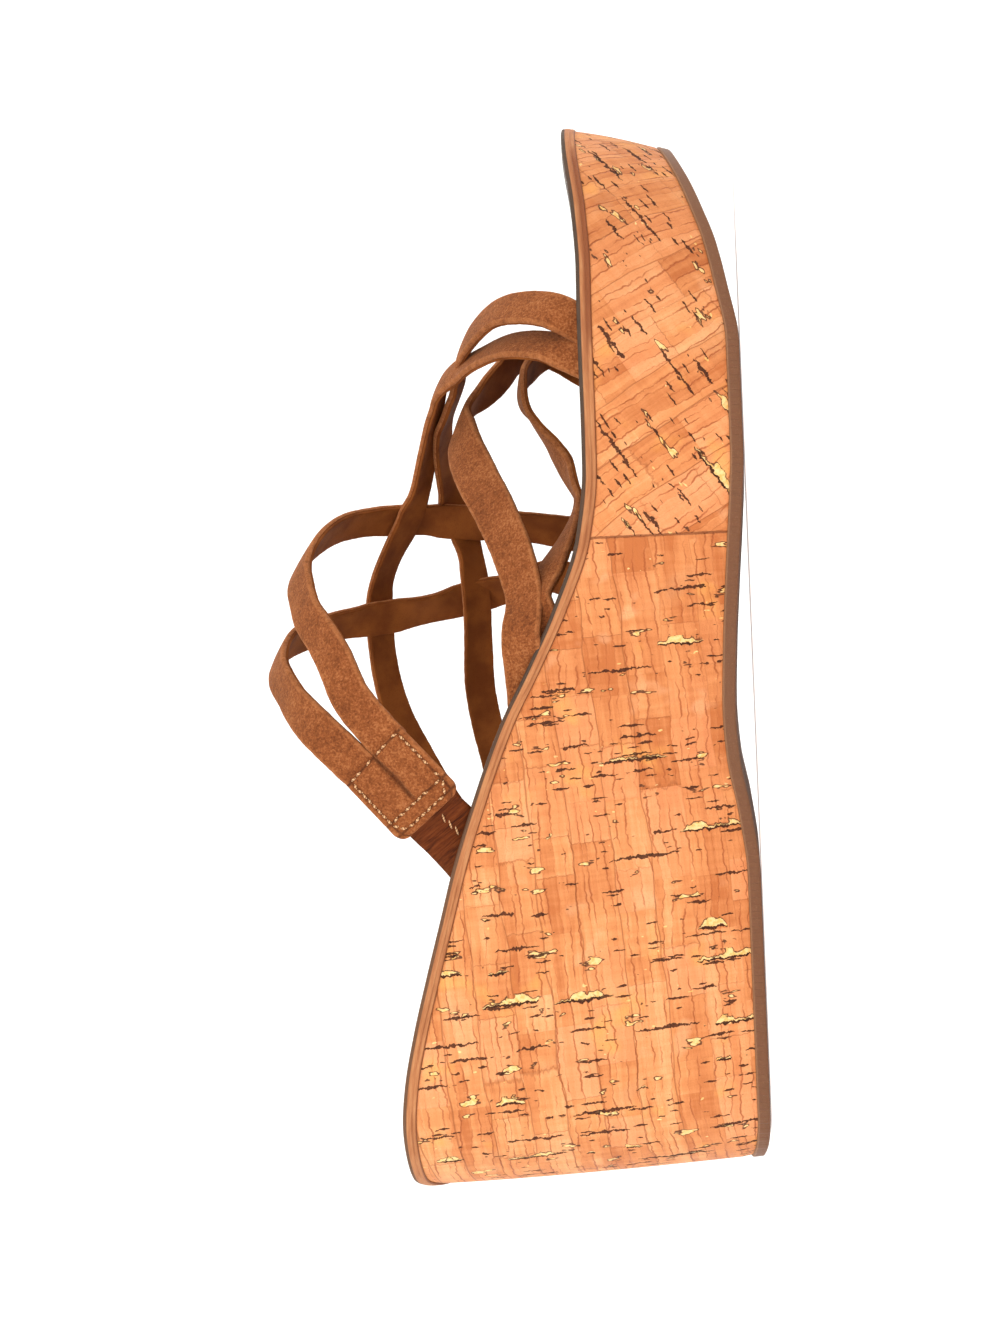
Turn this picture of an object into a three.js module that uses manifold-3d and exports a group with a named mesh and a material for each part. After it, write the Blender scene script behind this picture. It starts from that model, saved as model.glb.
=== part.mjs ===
// Platform sandal with a cork wedge: one right shoe, seen in the photo from its outer side.
// Built with x from the back of the heel to the toe, y to the inner side of the foot, z up from the floor.
import * as THREE from 'three';
import { mergeVertices } from 'three/addons/utils/BufferGeometryUtils.js';
import Module from 'manifold-3d';

const wasm = await Module();
wasm.setup();

// Sizes of the sole, in millimetres
const LENGTH = 254; // heel back to toe tip, along the top line
const BALL_WIDTH = 88; // sole across the ball of the foot
const HEEL_WIDTH = 62; // sole across the heel
const HEEL_HEIGHT = 84.3; // floor to the insole at the heel
const PLATFORM = 34.7; // floor to the insole at the ball
const TOE_LIFT = 5.3; // rise of the insole from ball to toe tip
const TOE_SPRING = 15; // floor to the front edge of the outsole
const ARCH_LIFT = 4; // floor to the outsole under the waist
const HEEL_BEVEL = 2; // floor to the back edge of the outsole
const HEEL_RAKE = 7; // how far the outsole's back stays inside the insole's
const TOE_RAKE = 7; // how far the outsole's front stays inside the insole's
const SIDE_RAKE = 2; // how far the outsole's sides stay inside the insole's
const TOE_TURN = 7; // how far the toe tip lies towards the inner side
const HEEL_ROUND = 31; // length of the round back of the heel
const TOE_ROUND = 67; // length of the round front of the toe

// Layers, in millimetres
const OUTSOLE = 2.8;
const MIDSOLE = 2.9;
const INSOLE = 1.4;
const INSOLE_EDGE = 0.4; // how much the insole's painted edge is rounded down
const GAP = 0.3; // clearance between neighbouring pieces

// Straps, in millimetres
const INSTEP_HEIGHT = 73; // insole to the highest strap
const STRAP_WIDTH = 9.4; // instep and crossing straps
const VAMP_STRAP_WIDTH = 8; // the pair from the outer front over the toes
const STRAP = 1.9; // suede and lining together
const STRAP_EDGE = 0.5; // how much a strap's outer edges are rounded down
const STRAP_STEP = 5.5; // distance between two sections of a strap
const STRAP_INSET = 3.2; // rim of the insole to the middle of a strap that goes in there
const PAIR_JOIN = 0.3; // overlap of two straps that lie side by side as one band
const SLOT_SPANS = 3; // stretches of a strap that are near its slot
const ROOT_LENGTH = 14; // hidden length of strap below the insole, before it is trimmed
const TAB_LENGTH = 16.5; // sewn block that holds the two instep straps
const TAB_CORNER = 5; // radius of the tab's end corners
const ANCHOR_WIDTH = 14.7;
const ANCHOR = 1.5; // thickness of the smooth strap
const ANCHOR_GAP = 0.5; // clearance between the tab and the smooth strap under it

// Turns short rows of numbers into rows with named columns.
function table(columns, rows) {
  const names = columns.split(' ');
  return rows.map((row) => Object.fromEntries(names.map((name, i) => [name, row[i]])));
}

// Plan of the sole. outer, inner: 0 is half the heel width, 1 is half the ball width.
const PLAN = table('along outer inner', [
  [0.0, 0.0, 0.0],
  [0.12, 0.0, 0.0],
  [0.23, 0.04, -0.08],
  [0.35, 0.15, -0.23],
  [0.45, 0.36, -0.23],
  [0.55, 0.62, 0.05],
  [0.64, 0.85, 0.5],
  [0.72, 0.98, 0.82],
  [0.78, 1.0, 0.86],
  [1.0, 1.0, 0.86],
]);

// Top line. seat: 0 at the platform, 1 at the heel height. lift: share of the toe lift.
const TOP_LINE = table('along seat lift', [
  [0.0, 1.0, 0],
  [0.07, 0.99, 0],
  [0.12, 0.96, 0],
  [0.165, 0.91, 0],
  [0.215, 0.84, 0],
  [0.265, 0.765, 0],
  [0.315, 0.69, 0],
  [0.37, 0.59, 0],
  [0.44, 0.44, 0],
  [0.49, 0.3, 0],
  [0.54, 0.17, 0],
  [0.6, 0.05, 0],
  [0.66, 0.005, 0],
  [0.72, 0, 0],
  [0.83, 0, 0],
  [0.89, 0, 0.2],
  [0.95, 0, 0.64],
  [1.0, 0, 1.0],
]);

// Ground line. bevel, arch, spring: shares of the heel bevel, arch lift and toe spring.
const GROUND_LINE = table('along bevel arch spring', [
  [0.0, 1, 0, 0],
  [0.03, 0.25, 0, 0],
  [0.06, 0, 0, 0],
  [0.29, 0, 0, 0],
  [0.35, 0, 0.37, 0],
  [0.4, 0, 0.88, 0],
  [0.44, 0, 1, 0],
  [0.5, 0, 0.84, 0],
  [0.57, 0, 0.52, 0],
  [0.64, 0, 0.15, 0],
  [0.68, 0, 0, 0],
  [0.775, 0, 0, 0],
  [0.83, 0, 0, 0.14],
  [0.875, 0, 0, 0.29],
  [0.905, 0, 0, 0.44],
  [0.94, 0, 0, 0.63],
  [0.97, 0, 0, 0.82],
  [1.0, 0, 0, 1],
]);

// Ridge of the foot that the straps hold: share of the instep height above the top line.
const RIDGE = table('along high', [
  [0.3, 1.0],
  [0.54, 1.0],
  [0.62, 0.88],
  [0.7, 0.69],
  [0.78, 0.54],
  [0.9, 0.4],
]);

// Places on the rim where straps go in. side: -1 is the outer rim, 1 the inner rim.
// half: which strap of a pair it is, 1 the one nearer the toe, -1 the one nearer the heel, 0 single.
const ROOTS = {
  vampOuterToe: { along: 0.77, side: -1, half: 1 },
  vampOuterHeel: { along: 0.77, side: -1, half: -1 },
  vampInnerToe: { along: 0.785, side: 1, half: 1 },
  vampInnerHeel: { along: 0.785, side: 1, half: -1 },
  waistOuterToe: { along: 0.503, side: -1, half: 1 },
  waistOuterHeel: { along: 0.503, side: -1, half: -1 },
  instepInnerToe: { along: 0.617, side: 1, half: 0 },
  instepInnerHeel: { along: 0.57, side: 1, half: 0 },
  heelInnerToe: { along: 0.362, side: 1, half: 0 },
  heelInnerHeel: { along: 0.3, side: 1, half: 0 },
  anchorOuter: { along: 0.337, side: -1, half: 0 },
};

// Middle lines of the straps, between their roots. along: share of the length. across: share of half
// the ball width. high: share of the instep height above the top line. turn: degrees that the strap's
// face is turned about its own line, away from the foot's face.
const STRAPS = {
  vampToe: {
    width: VAMP_STRAP_WIDTH,
    from: 'vampOuterToe',
    to: 'heelInnerToe',
    rows: table('along across high turn', [
      [0.799, -0.92, 0.06, 22],
      [0.806, -0.85, 0.14, 24],
      [0.806, -0.67, 0.26, 20],
      [0.795, -0.42, 0.37, 8],
      [0.778, -0.16, 0.44, 2],
      [0.757, 0.06, 0.458, -6],
      [0.733, 0.26, 0.493, -13],
      [0.7, 0.52, 0.55, -26],
      [0.664, 0.68, 0.55, -36],
      [0.63, 0.76, 0.51, -38],
      [0.592, 0.77, 0.465, -36],
      [0.533, 0.76, 0.37, -30],
      [0.471, 0.75, 0.255, -12],
      [0.428, 0.7, 0.15, -6],
      [0.395, 0.64, 0.07, 0],
    ]),
  },
  vampHeel: {
    width: VAMP_STRAP_WIDTH,
    from: 'vampOuterHeel',
    to: 'heelInnerHeel',
    rows: table('along across high turn', [
      [0.764, -0.88, 0.08, 38],
      [0.776, -0.7, 0.21, 38],
      [0.776, -0.45, 0.345, 24],
      [0.768, -0.23, 0.44, 4],
      [0.757, -0.05, 0.51, -4],
      [0.74, 0.12, 0.555, -6],
      [0.71, 0.32, 0.605, -15],
      [0.674, 0.46, 0.65, -22],
      [0.635, 0.555, 0.71, -25],
      [0.61, 0.58, 0.755, -27],
      [0.579, 0.6, 0.77, -28],
      [0.536, 0.62, 0.715, -27],
      [0.492, 0.66, 0.63, -25],
      [0.448, 0.68, 0.51, -24],
      [0.403, 0.67, 0.365, -20],
      [0.357, 0.62, 0.21, -12],
      [0.322, 0.57, 0.085, 0],
    ]),
  },
  instepToe: {
    width: STRAP_WIDTH,
    from: 'instepInnerToe',
    to: 'tab',
    half: 1,
    rows: table('along across high turn', [
      [0.628, 0.82, 0.16, -30],
      [0.637, 0.82, 0.33, -38],
      [0.645, 0.73, 0.56, -29],
      [0.647, 0.58, 0.74, -20],
      [0.642, 0.39, 0.855, -15],
      [0.635, 0.22, 0.905, -7],
      [0.622, 0.03, 0.935, 0],
      [0.604, -0.17, 0.945, 8],
      [0.585, -0.33, 0.93, 16],
      [0.567, -0.46, 0.88, 28],
      [0.547, -0.58, 0.81, 28],
      [0.526, -0.68, 0.72, 26],
      [0.502, -0.77, 0.615, 18],
    ]),
  },
  instepHeel: {
    width: STRAP_WIDTH,
    from: 'instepInnerHeel',
    to: 'tab',
    half: -1,
    rows: table('along across high turn', [
      [0.583, 0.81, 0.2, -35],
      [0.572, 0.83, 0.33, -42],
      [0.562, 0.79, 0.47, -38],
      [0.554, 0.71, 0.58, -32],
      [0.548, 0.6, 0.69, -28],
      [0.544, 0.48, 0.78, -23],
      [0.539, 0.33, 0.85, -18],
      [0.53, 0.11, 0.9, -10],
      [0.521, -0.1, 0.915, 0],
      [0.508, -0.28, 0.895, 6],
      [0.494, -0.42, 0.85, 14],
      [0.48, -0.55, 0.78, 22],
      [0.466, -0.67, 0.69, 18],
    ]),
  },
  crossToe: {
    width: STRAP_WIDTH,
    from: 'vampInnerToe',
    to: 'waistOuterToe',
    rows: table('along across high turn', [
      [0.808, 0.92, 0.1, -20],
      [0.806, 0.84, 0.19, -20],
      [0.786, 0.68, 0.26, -10],
      [0.757, 0.42, 0.275, 0],
      [0.726, 0.25, 0.225, -8],
      [0.702, 0.14, 0.17, -2],
      [0.673, 0.0, 0.1, 45],
      [0.643, -0.2, 0.055, 66],
      [0.61, -0.42, 0.062, 60],
      [0.58, -0.61, 0.078, 48],
      [0.552, -0.75, 0.085, 30],
    ]),
  },
  crossHeel: {
    width: STRAP_WIDTH,
    from: 'vampInnerHeel',
    to: 'waistOuterHeel',
    rows: table('along across high turn', [
      [0.792, 0.88, 0.17, -15],
      [0.79, 0.75, 0.28, -25],
      [0.773, 0.55, 0.365, -15],
      [0.752, 0.3, 0.435, 0],
      [0.729, 0.08, 0.457, -16],
      [0.704, -0.11, 0.438, -10],
      [0.67, -0.3, 0.38, -8],
      [0.634, -0.48, 0.3, 0],
      [0.59, -0.65, 0.2, 8],
      [0.551, -0.75, 0.11, 22],
      [0.52, -0.83, 0.07, 20],
    ]),
  },
};

// Middle line of the tab on the outer side, from its sewn top row to its end.
const TAB = table('along across high turn', [
  [0.457, -0.8, 0.545, 0],
  [0.43, -0.84, 0.41, 0],
  [0.404, -0.86, 0.285, 0],
  [0.371, -0.83, 0.14, 0],
]);

// Value of one column at a place, on a smooth line through the rows that never swings past them.
function lookup(rows, column, place) {
  const last = rows.length - 1;
  if (place <= rows[0].along) return rows[0][column];
  if (place >= rows[last].along) return rows[last][column];
  const i = rows.findIndex((row) => row.along > place) - 1;
  const slope = (k) => (rows[k + 1][column] - rows[k][column]) / (rows[k + 1].along - rows[k].along);
  const tangent = (k) => {
    if (k === 0) return slope(0);
    if (k === last) return slope(last - 1);
    const before = slope(k - 1);
    const after = slope(k);
    return before * after <= 0 ? 0 : (2 * before * after) / (before + after);
  };
  const span = rows[i + 1].along - rows[i].along;
  const q = (place - rows[i].along) / span;
  const start = (1 + 2 * q) * (1 - q) ** 2 * rows[i][column] + q * (1 - q) ** 2 * span * tangent(i);
  const end = q * q * (3 - 2 * q) * rows[i + 1][column] + q * q * (q - 1) * span * tangent(i + 1);
  return start + end;
}

const topLine = (s) =>
  PLATFORM + (HEEL_HEIGHT - PLATFORM) * lookup(TOP_LINE, 'seat', s) + TOE_LIFT * lookup(TOP_LINE, 'lift', s);

const groundLine = (s) =>
  HEEL_BEVEL * lookup(GROUND_LINE, 'bevel', s) +
  ARCH_LIFT * lookup(GROUND_LINE, 'arch', s) +
  TOE_SPRING * lookup(GROUND_LINE, 'spring', s);

// Share of the full width that is left at the round heel and the round toe.
const HEEL_POWER = 2;
const TOE_POWER = 2.25;
function roundEnds(s) {
  const back = Math.max(0, 1 - (s * LENGTH) / HEEL_ROUND);
  const front = Math.max(0, 1 - ((1 - s) * LENGTH) / TOE_ROUND);
  const heel = (1 - back ** HEEL_POWER) ** (1 / HEEL_POWER);
  const toe = Math.max(0, 1 - front ** TOE_POWER) ** (1 / TOE_POWER);
  return heel * toe;
}

// How far the toe's middle line has turned to the inner side.
const toeTurn = (s) => TOE_TURN * Math.max(0, 1 - ((1 - s) * LENGTH) / TOE_ROUND) ** 2;

function halfWidth(s, side) {
  const share = lookup(PLAN, side < 0 ? 'outer' : 'inner', s);
  return (HEEL_WIDTH + (BALL_WIDTH - HEEL_WIDTH) * share) / 2;
}

// A point of the sole's body. s runs from heel to toe, t from the outer edge (-1) to the inner (1), and
// level from the ground line (0) to the top line (1). outset widens the plan on both sides.
const RAKE_POWER = 1.2;
function solePoint(s, t, level, outset = 0) {
  const rake = Math.max(0, 1 - level) ** RAKE_POWER;
  const heel = HEEL_RAKE * rake;
  const toe = LENGTH - TOE_RAKE * rake;
  const half = halfWidth(s, t) - SIDE_RAKE * rake + outset;
  const x = heel + s * (toe - heel);
  const y = toeTurn(s) + t * half * roundEnds(s);
  const z = groundLine(s) + level * (topLine(s) - groundLine(s));
  return new THREE.Vector3(x, y, z);
}

const levelBelowTop = (s, drop) => 1 - drop / (topLine(s) - groundLine(s));
const levelAboveGround = (s, rise) => rise / (topLine(s) - groundLine(s));

// Solid from loops of points that each have the same number of points.
function solidFromLoops(loops, capped) {
  const count = loops[0].length;
  const positions = loops.flatMap((loop) => loop.flatMap((p) => [p.x, p.y, p.z]));
  const index = [];
  for (let i = 0; i + 1 < loops.length; i += 1) {
    for (let j = 0; j < count; j += 1) {
      const a = i * count + j;
      const b = i * count + ((j + 1) % count);
      index.push(a, b, b + count, a, b + count, a + count);
    }
  }
  if (capped) {
    const end = (loops.length - 1) * count;
    for (let j = 1; j + 1 < count; j += 1) {
      index.push(0, j + 1, j, end, end + j, end + j + 1);
    }
  }
  return solidFromTriangles(positions, index);
}

const MERGE_DISTANCE = 1e-4;
function solidFromTriangles(positions, index) {
  const geometry = new THREE.BufferGeometry();
  geometry.setAttribute('position', new THREE.Float32BufferAttribute(positions, 3));
  geometry.setIndex(index);
  const merged = mergeVertices(geometry, MERGE_DISTANCE);
  const corners = merged.index.array;
  const kept = [];
  for (let i = 0; i < corners.length; i += 3) {
    const [a, b, c] = corners.slice(i, i + 3);
    if (a !== b && b !== c && c !== a) kept.push(a, b, c);
  }
  const vertProperties = new Float32Array(merged.attributes.position.array);
  return new wasm.Manifold(new wasm.Mesh({ numProp: 3, vertProperties, triVerts: new Uint32Array(kept) }));
}

// One layer of the sole between two levels, closed round its side.
const STATIONS = 44;
const ACROSS = [-1, -0.94, -0.5, 0, 0.5, 0.94, 1];
function layer({ lower, upper, sideSteps = 1, edge = 0, outset = 0 }) {
  const loops = [];
  for (let i = 0; i <= STATIONS; i += 1) {
    const s = (1 - Math.cos((Math.PI * i) / STATIONS)) / 2;
    const low = lower(s);
    const high = upper(s);
    const rounded = (t) => (Math.abs(t) === 1 ? edge / (topLine(s) - groundLine(s)) : 0);
    const loop = ACROSS.map((t) => solePoint(s, t, low, outset));
    for (let k = 1; k < sideSteps; k += 1) {
      loop.push(solePoint(s, 1, low + ((high - low) * k) / sideSteps, outset));
    }
    for (const t of [...ACROSS].reverse()) loop.push(solePoint(s, t, high - rounded(t), outset));
    for (let k = sideSteps - 1; k > 0; k -= 1) {
      loop.push(solePoint(s, -1, low + ((high - low) * k) / sideSteps, outset));
    }
    loops.push(loop);
  }
  return solidFromLoops(loops, false);
}

// Direction in which the foot's surface faces at a point, on a last of elliptical sections.
const FOOT_HALF_WIDTH = 0.85; // share of half the ball width
const SLOPE_STEP = 0.02;
const ridgeHeight = (s) => INSTEP_HEIGHT * lookup(RIDGE, 'high', s);
function footNormal(p) {
  const s = p.x / LENGTH;
  const half = (FOOT_HALF_WIDTH * BALL_WIDTH) / 2;
  const rise = Math.max(0, p.z - topLine(s));
  const up = rise / ridgeHeight(s) ** 2;
  const fall = topLine(s - SLOPE_STEP) + ridgeHeight(s - SLOPE_STEP)
    - topLine(s + SLOPE_STEP) - ridgeHeight(s + SLOPE_STEP);
  const forward = (up * fall) / (2 * SLOPE_STEP * LENGTH);
  return new THREE.Vector3(forward, p.y / half ** 2, up).normalize();
}

// Point of the space over the insole, from a row of shares.
function strapPoint({ along, across, high }) {
  return new THREE.Vector3(
    along * LENGTH,
    (across * BALL_WIDTH) / 2,
    topLine(along) + high * INSTEP_HEIGHT,
  );
}

// Point where a strap goes into the insole.
function rootPoint({ along, side, half }, width) {
  const s = along + (half * (width - PAIR_JOIN)) / 2 / LENGTH;
  const rim = solePoint(s, side, 1);
  return new THREE.Vector3(rim.x, rim.y - side * STRAP_INSET, rim.z);
}

// A root and its hidden end, which follows the direction in which the strap leaves.
function rootEnd(root, next) {
  const outwards = next.clone().sub(root).setY(0).normalize();
  return root.clone().addScaledVector(outwards, -ROOT_LENGTH);
}

// Flat strap along points: at each section the face looks away from the foot, turned by the row's angle.
// spans limits it to the first stretches of the same curve, and grow widens it on every side.
function ribbon(points, turns, { width, thickness, edge = STRAP_EDGE, widthAt = () => width, grow = 0, spans }) {
  const curve = new THREE.CatmullRomCurve3(points, false, 'centripetal');
  const loops = [];
  const whole = points.length - 1;
  const count = spans ?? whole;
  let run = 0;
  for (let k = 0; k < count; k += 1) {
    const span = points[k].distanceTo(points[k + 1]);
    const steps = Math.max(1, Math.round(span / STRAP_STEP));
    for (let i = 0; i < steps + (k === count - 1 ? 1 : 0); i += 1) {
      const q = i / steps;
      const at = (k + q) / whole;
      const p = curve.getPoint(at);
      const tangent = curve.getTangent(at).normalize();
      const face = footNormal(p);
      face.addScaledVector(tangent, -face.dot(tangent)).normalize();
      face.applyAxisAngle(tangent, THREE.MathUtils.degToRad(turns[k] * (1 - q) + turns[k + 1] * q));
      const side = new THREE.Vector3().crossVectors(face, tangent);
      const w = widthAt(run + q * span) / 2 + grow;
      const h = thickness / 2 + grow;
      const section = [
        [-w, -h],
        [w, -h],
        [w, h - edge],
        [w / 2, h],
        [-w / 2, h],
        [-w, h - edge],
      ];
      loops.push(section.map(([a, b]) => p.clone().addScaledVector(side, a).addScaledVector(face, b)));
    }
    run += span;
  }
  return solidFromLoops(loops, true);
}

const tabPoints = TAB.map(strapPoint);
const tabTurns = TAB.map((row) => row.turn);

// Point beside the tab's middle line, half a pair's width to the toe side (1) or the heel side (-1).
function besideTab(index, half) {
  const ahead = tabPoints[index + 1].clone().sub(tabPoints[index]).normalize();
  const face = footNormal(tabPoints[index]);
  const side = new THREE.Vector3().crossVectors(ahead, face).normalize();
  const toeward = Math.sign(side.x) * half;
  return tabPoints[index].clone().addScaledVector(side, (toeward * (STRAP_WIDTH - PAIR_JOIN)) / 2);
}

// Points and turns of one strap, from hidden end to hidden end or to the tab.
function strapLine(strap) {
  const points = strap.rows.map(strapPoint);
  const turns = strap.rows.map((row) => row.turn);
  const start = rootPoint(ROOTS[strap.from], strap.width);
  points.unshift(rootEnd(start, points[0]), start);
  turns.unshift(0, 0);
  if (strap.to === 'tab') {
    points.push(...[0, 1, 2].map((index) => besideTab(index, strap.half)));
    turns.push(...tabTurns.slice(0, 3));
  } else {
    const finish = rootPoint(ROOTS[strap.to], strap.width);
    points.push(finish, rootEnd(finish, points.at(-1)));
    turns.push(0, 0);
  }
  return { points, turns };
}

// The short stretch of a strap that passes through the insole, widened by the clearance.
const slotCutter = (points, turns, size) =>
  ribbon(points, turns, { ...size, edge: 0, grow: GAP, spans: SLOT_SPANS });

const anchorSize = { width: ANCHOR_WIDTH, thickness: ANCHOR };

function makeStraps() {
  const bands = [];
  const cutters = [];
  for (const strap of Object.values(STRAPS)) {
    const { points, turns } = strapLine(strap);
    const size = { width: strap.width, thickness: STRAP };
    bands.push(ribbon(points, turns, size));
    cutters.push(slotCutter(points, turns, size));
    if (strap.to !== 'tab') {
      const turnsBack = turns.map((turn) => -turn).reverse();
      cutters.push(slotCutter([...points].reverse(), turnsBack, size));
    }
  }
  return { bands, cutters };
}

// The tab's last stretch is as wide as both straps and ends with round corners.
function makeTab() {
  const curve = new THREE.CatmullRomCurve3(tabPoints, false, 'centripetal');
  const length = curve.getLength();
  const pairWidth = 2 * STRAP_WIDTH - PAIR_JOIN;
  const places = [TAB_LENGTH, TAB_CORNER, TAB_CORNER * 0.6, TAB_CORNER * 0.3, TAB_CORNER * 0.1, 0];
  const points = places.map((left) => curve.getPointAt(1 - left / length));
  const widthAt = (run) => {
    const left = TAB_LENGTH - run;
    const short = Math.max(0, TAB_CORNER - left);
    return pairWidth - 2 * (TAB_CORNER - Math.sqrt(Math.max(0, TAB_CORNER ** 2 - short ** 2)));
  };
  return ribbon(points, places.map(() => tabTurns.at(-1)), { width: pairWidth, thickness: STRAP, widthAt });
}

// The anchor strap lies under the tab and runs down to the outer rim.
function anchorLine() {
  const root = rootPoint(ROOTS.anchorOuter, ANCHOR_WIDTH);
  const curve = new THREE.CatmullRomCurve3(tabPoints, false, 'centripetal');
  const length = curve.getLength();
  const under = [TAB_CORNER * 0.3, TAB_LENGTH / 2, TAB_LENGTH].map((left) => {
    const p = curve.getPointAt(1 - left / length);
    return p.addScaledVector(footNormal(p), -(STRAP + ANCHOR) / 2 - ANCHOR_GAP);
  });
  const points = [root, ...under];
  points.unshift(rootEnd(root, under[0]));
  return { points, turns: points.map(() => 0) };
}

const { bands, cutters } = makeStraps();
const anchor = anchorLine();

// Everything under the insole's lower face, wider than the sole, trims the hidden ends.
const underInsole = layer({
  lower: (s) => levelBelowTop(s, INSOLE + 2 * ROOT_LENGTH),
  upper: (s) => levelBelowTop(s, INSOLE),
  outset: 2 * STRAP_INSET,
});

const outsole = layer({
  lower: () => 0,
  upper: (s) => levelAboveGround(s, OUTSOLE),
});

const corkWedge = layer({
  lower: (s) => levelAboveGround(s, OUTSOLE + GAP),
  upper: (s) => levelBelowTop(s, INSOLE + MIDSOLE + 2 * GAP),
  sideSteps: 4,
});

const midsole = layer({
  lower: (s) => levelBelowTop(s, INSOLE + MIDSOLE + GAP),
  upper: (s) => levelBelowTop(s, INSOLE + GAP),
});

const slotCutters = [...cutters, slotCutter(anchor.points, anchor.turns, anchorSize)];
const insole = slotCutters.reduce(
  (board, cutter) => board.subtract(cutter),
  layer({ lower: (s) => levelBelowTop(s, INSOLE), upper: () => 1, edge: INSOLE_EDGE }),
);

const upper = bands.reduce((joined, band) => joined.add(band), makeTab()).subtract(underInsole);
const anchorStrap = ribbon(anchor.points, anchor.turns, anchorSize).subtract(underInsole);

// Mesh of a solid with its own material.
function meshOf(name, solid, material) {
  const { vertProperties, triVerts } = solid.getMesh();
  const geometry = new THREE.BufferGeometry();
  geometry.setAttribute('position', new THREE.BufferAttribute(vertProperties, 3));
  geometry.setIndex(new THREE.BufferAttribute(triVerts, 1));
  geometry.computeVertexNormals();
  const mesh = new THREE.Mesh(geometry, material);
  mesh.name = name;
  return mesh;
}

const finish = (color, roughness) => new THREE.MeshStandardMaterial({ color, roughness, metalness: 0 });
const rubber = finish(0x6e4a30, 0.7);
const cork = finish(0xd99e62, 0.85);
const tanLeather = finish(0xb67a4e, 0.55);
const darkLeather = finish(0x3d2a22, 0.6);
const suede = finish(0x96552a, 0.95);
const smoothLeather = finish(0x5a2c12, 0.4);

// The origin is the middle of the flat spot under the heel.
const HEEL_SPOT = 0.175;
const heelSpot = solePoint(HEEL_SPOT, 0, 0);

const sandal = new THREE.Group();
sandal.position.x = -heelSpot.x;
sandal.add(
  meshOf('outsole', outsole, rubber),
  meshOf('cork_wedge', corkWedge, cork),
  meshOf('midsole', midsole, tanLeather),
  meshOf('insole', insole, darkLeather),
  meshOf('upper', upper, suede),
  meshOf('anchor_strap', anchorStrap, smoothLeather),
);

export default sandal;
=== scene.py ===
"""Platform sandal: fine surfaces, finishes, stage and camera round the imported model, laid out as an add-on.

Lengths inside the shape functions are millimetres from the back of the heel, as in the part's source.
Meshes and properties are in metres in the part's frame, whose origin is under the heel.
"""

import math

import bmesh
import bpy
import numpy as np
from mathutils import Matrix


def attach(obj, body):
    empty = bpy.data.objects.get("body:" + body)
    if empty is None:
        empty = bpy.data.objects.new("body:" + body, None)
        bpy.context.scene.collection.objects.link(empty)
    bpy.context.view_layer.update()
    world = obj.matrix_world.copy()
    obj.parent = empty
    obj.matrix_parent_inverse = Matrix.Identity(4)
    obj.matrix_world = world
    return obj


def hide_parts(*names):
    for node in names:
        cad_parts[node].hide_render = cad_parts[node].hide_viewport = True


bl_info = {
    "name": "Platform Sandal",
    "version": (1, 0, 0),
    "blender": (4, 5, 0),
    "location": "View3D > Sidebar > Sandal",
    "description": "Builds the fine surfaces and finishes of a strappy sandal on a cork wedge",
    "category": "Object",
}

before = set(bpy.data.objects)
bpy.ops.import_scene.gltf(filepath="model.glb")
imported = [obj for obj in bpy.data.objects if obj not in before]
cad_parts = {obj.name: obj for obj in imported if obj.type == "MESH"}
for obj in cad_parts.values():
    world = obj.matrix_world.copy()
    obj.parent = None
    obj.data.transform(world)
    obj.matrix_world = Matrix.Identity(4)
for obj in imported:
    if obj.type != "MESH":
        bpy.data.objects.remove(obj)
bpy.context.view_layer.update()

MM = 0.001
MERGE_DISTANCE = 2e-6  # metres within which two points of a mesh become one
SHORTEST_EDGE = 1e-7

# Sizes of the sole, in millimetres
LENGTH = 254.0
BALL_WIDTH = 88.0
HEEL_WIDTH = 62.0
HEEL_HEIGHT = 84.3
PLATFORM = 34.7
TOE_LIFT = 5.3
TOE_SPRING = 15.0
ARCH_LIFT = 4.0
HEEL_BEVEL = 2.0
HEEL_RAKE = 7.0
TOE_RAKE = 7.0
SIDE_RAKE = 2.0
TOE_TURN = 7.0
HEEL_ROUND = 31.0
TOE_ROUND = 67.0
HEEL_POWER = 2.0
TOE_POWER = 2.25
RAKE_POWER = 1.2
HEEL_CORNER = 5.0
HEEL_SPOT = 49.0  # back of the heel to the origin

# Layers, in millimetres
OUTSOLE = 2.8
INSOLE = 1.4
GAP = 0.3
DARK_EDGE = 0.75  # visible height of the insole's painted edge
RIM_HEIGHT = 2.5  # visible height of the tan rim

# Straps, in millimetres
INSTEP_HEIGHT = 73.0
STRAP_WIDTH = 9.4
VAMP_STRAP_WIDTH = 8.0
STRAP = 1.9
STRAP_INSET = 3.2
PAIR_JOIN = 0.3
ROOT_LENGTH = 14.0
TAB_LENGTH = 19.0
ROW_TOP = 0.55  # sewn rows of the tab: from its top, from its end, from its edges
ROW_LOW = 5.0
ROW_END = 1.7
ROW_INSET = 1.5
TAB_CORNER = 2.8
NOTCH_GAPS = (1.9, 0.5, 0.0)  # gaps between the instep straps at the tab's first points
ANCHOR_WIDTH = 14.7
ANCHOR = 1.5
ANCHOR_GAP = 0.5
ANCHOR_SPOTS = (1.5, 8.25, 16.5)  # from the tab's end, where the smooth strap lies under its middle line
ANCHOR_STITCHES = (2.7, 5.0, 7.3)  # from the tab's end down the smooth strap
ANCHOR_STITCH_ASIDE = 1.3
FOOT_HALF_WIDTH = 0.85
SLOPE_STEP = 0.02
CROSSING_GAP = 0.35  # air between two straps where they cross
CROSSING_PULL = 0.9  # most that two straps are drawn together there
CROSSING_REACH = 15.0  # how far from the given place a crossing is looked for
CROSSING_LEAN = 0.97  # share of the common face that both straps take there
ROOT_DEPTH = 1.0  # how far a strap's upper edge goes on below the insole's face
PATH_STEP = 0.7  # distance between two sections of a strap
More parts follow.
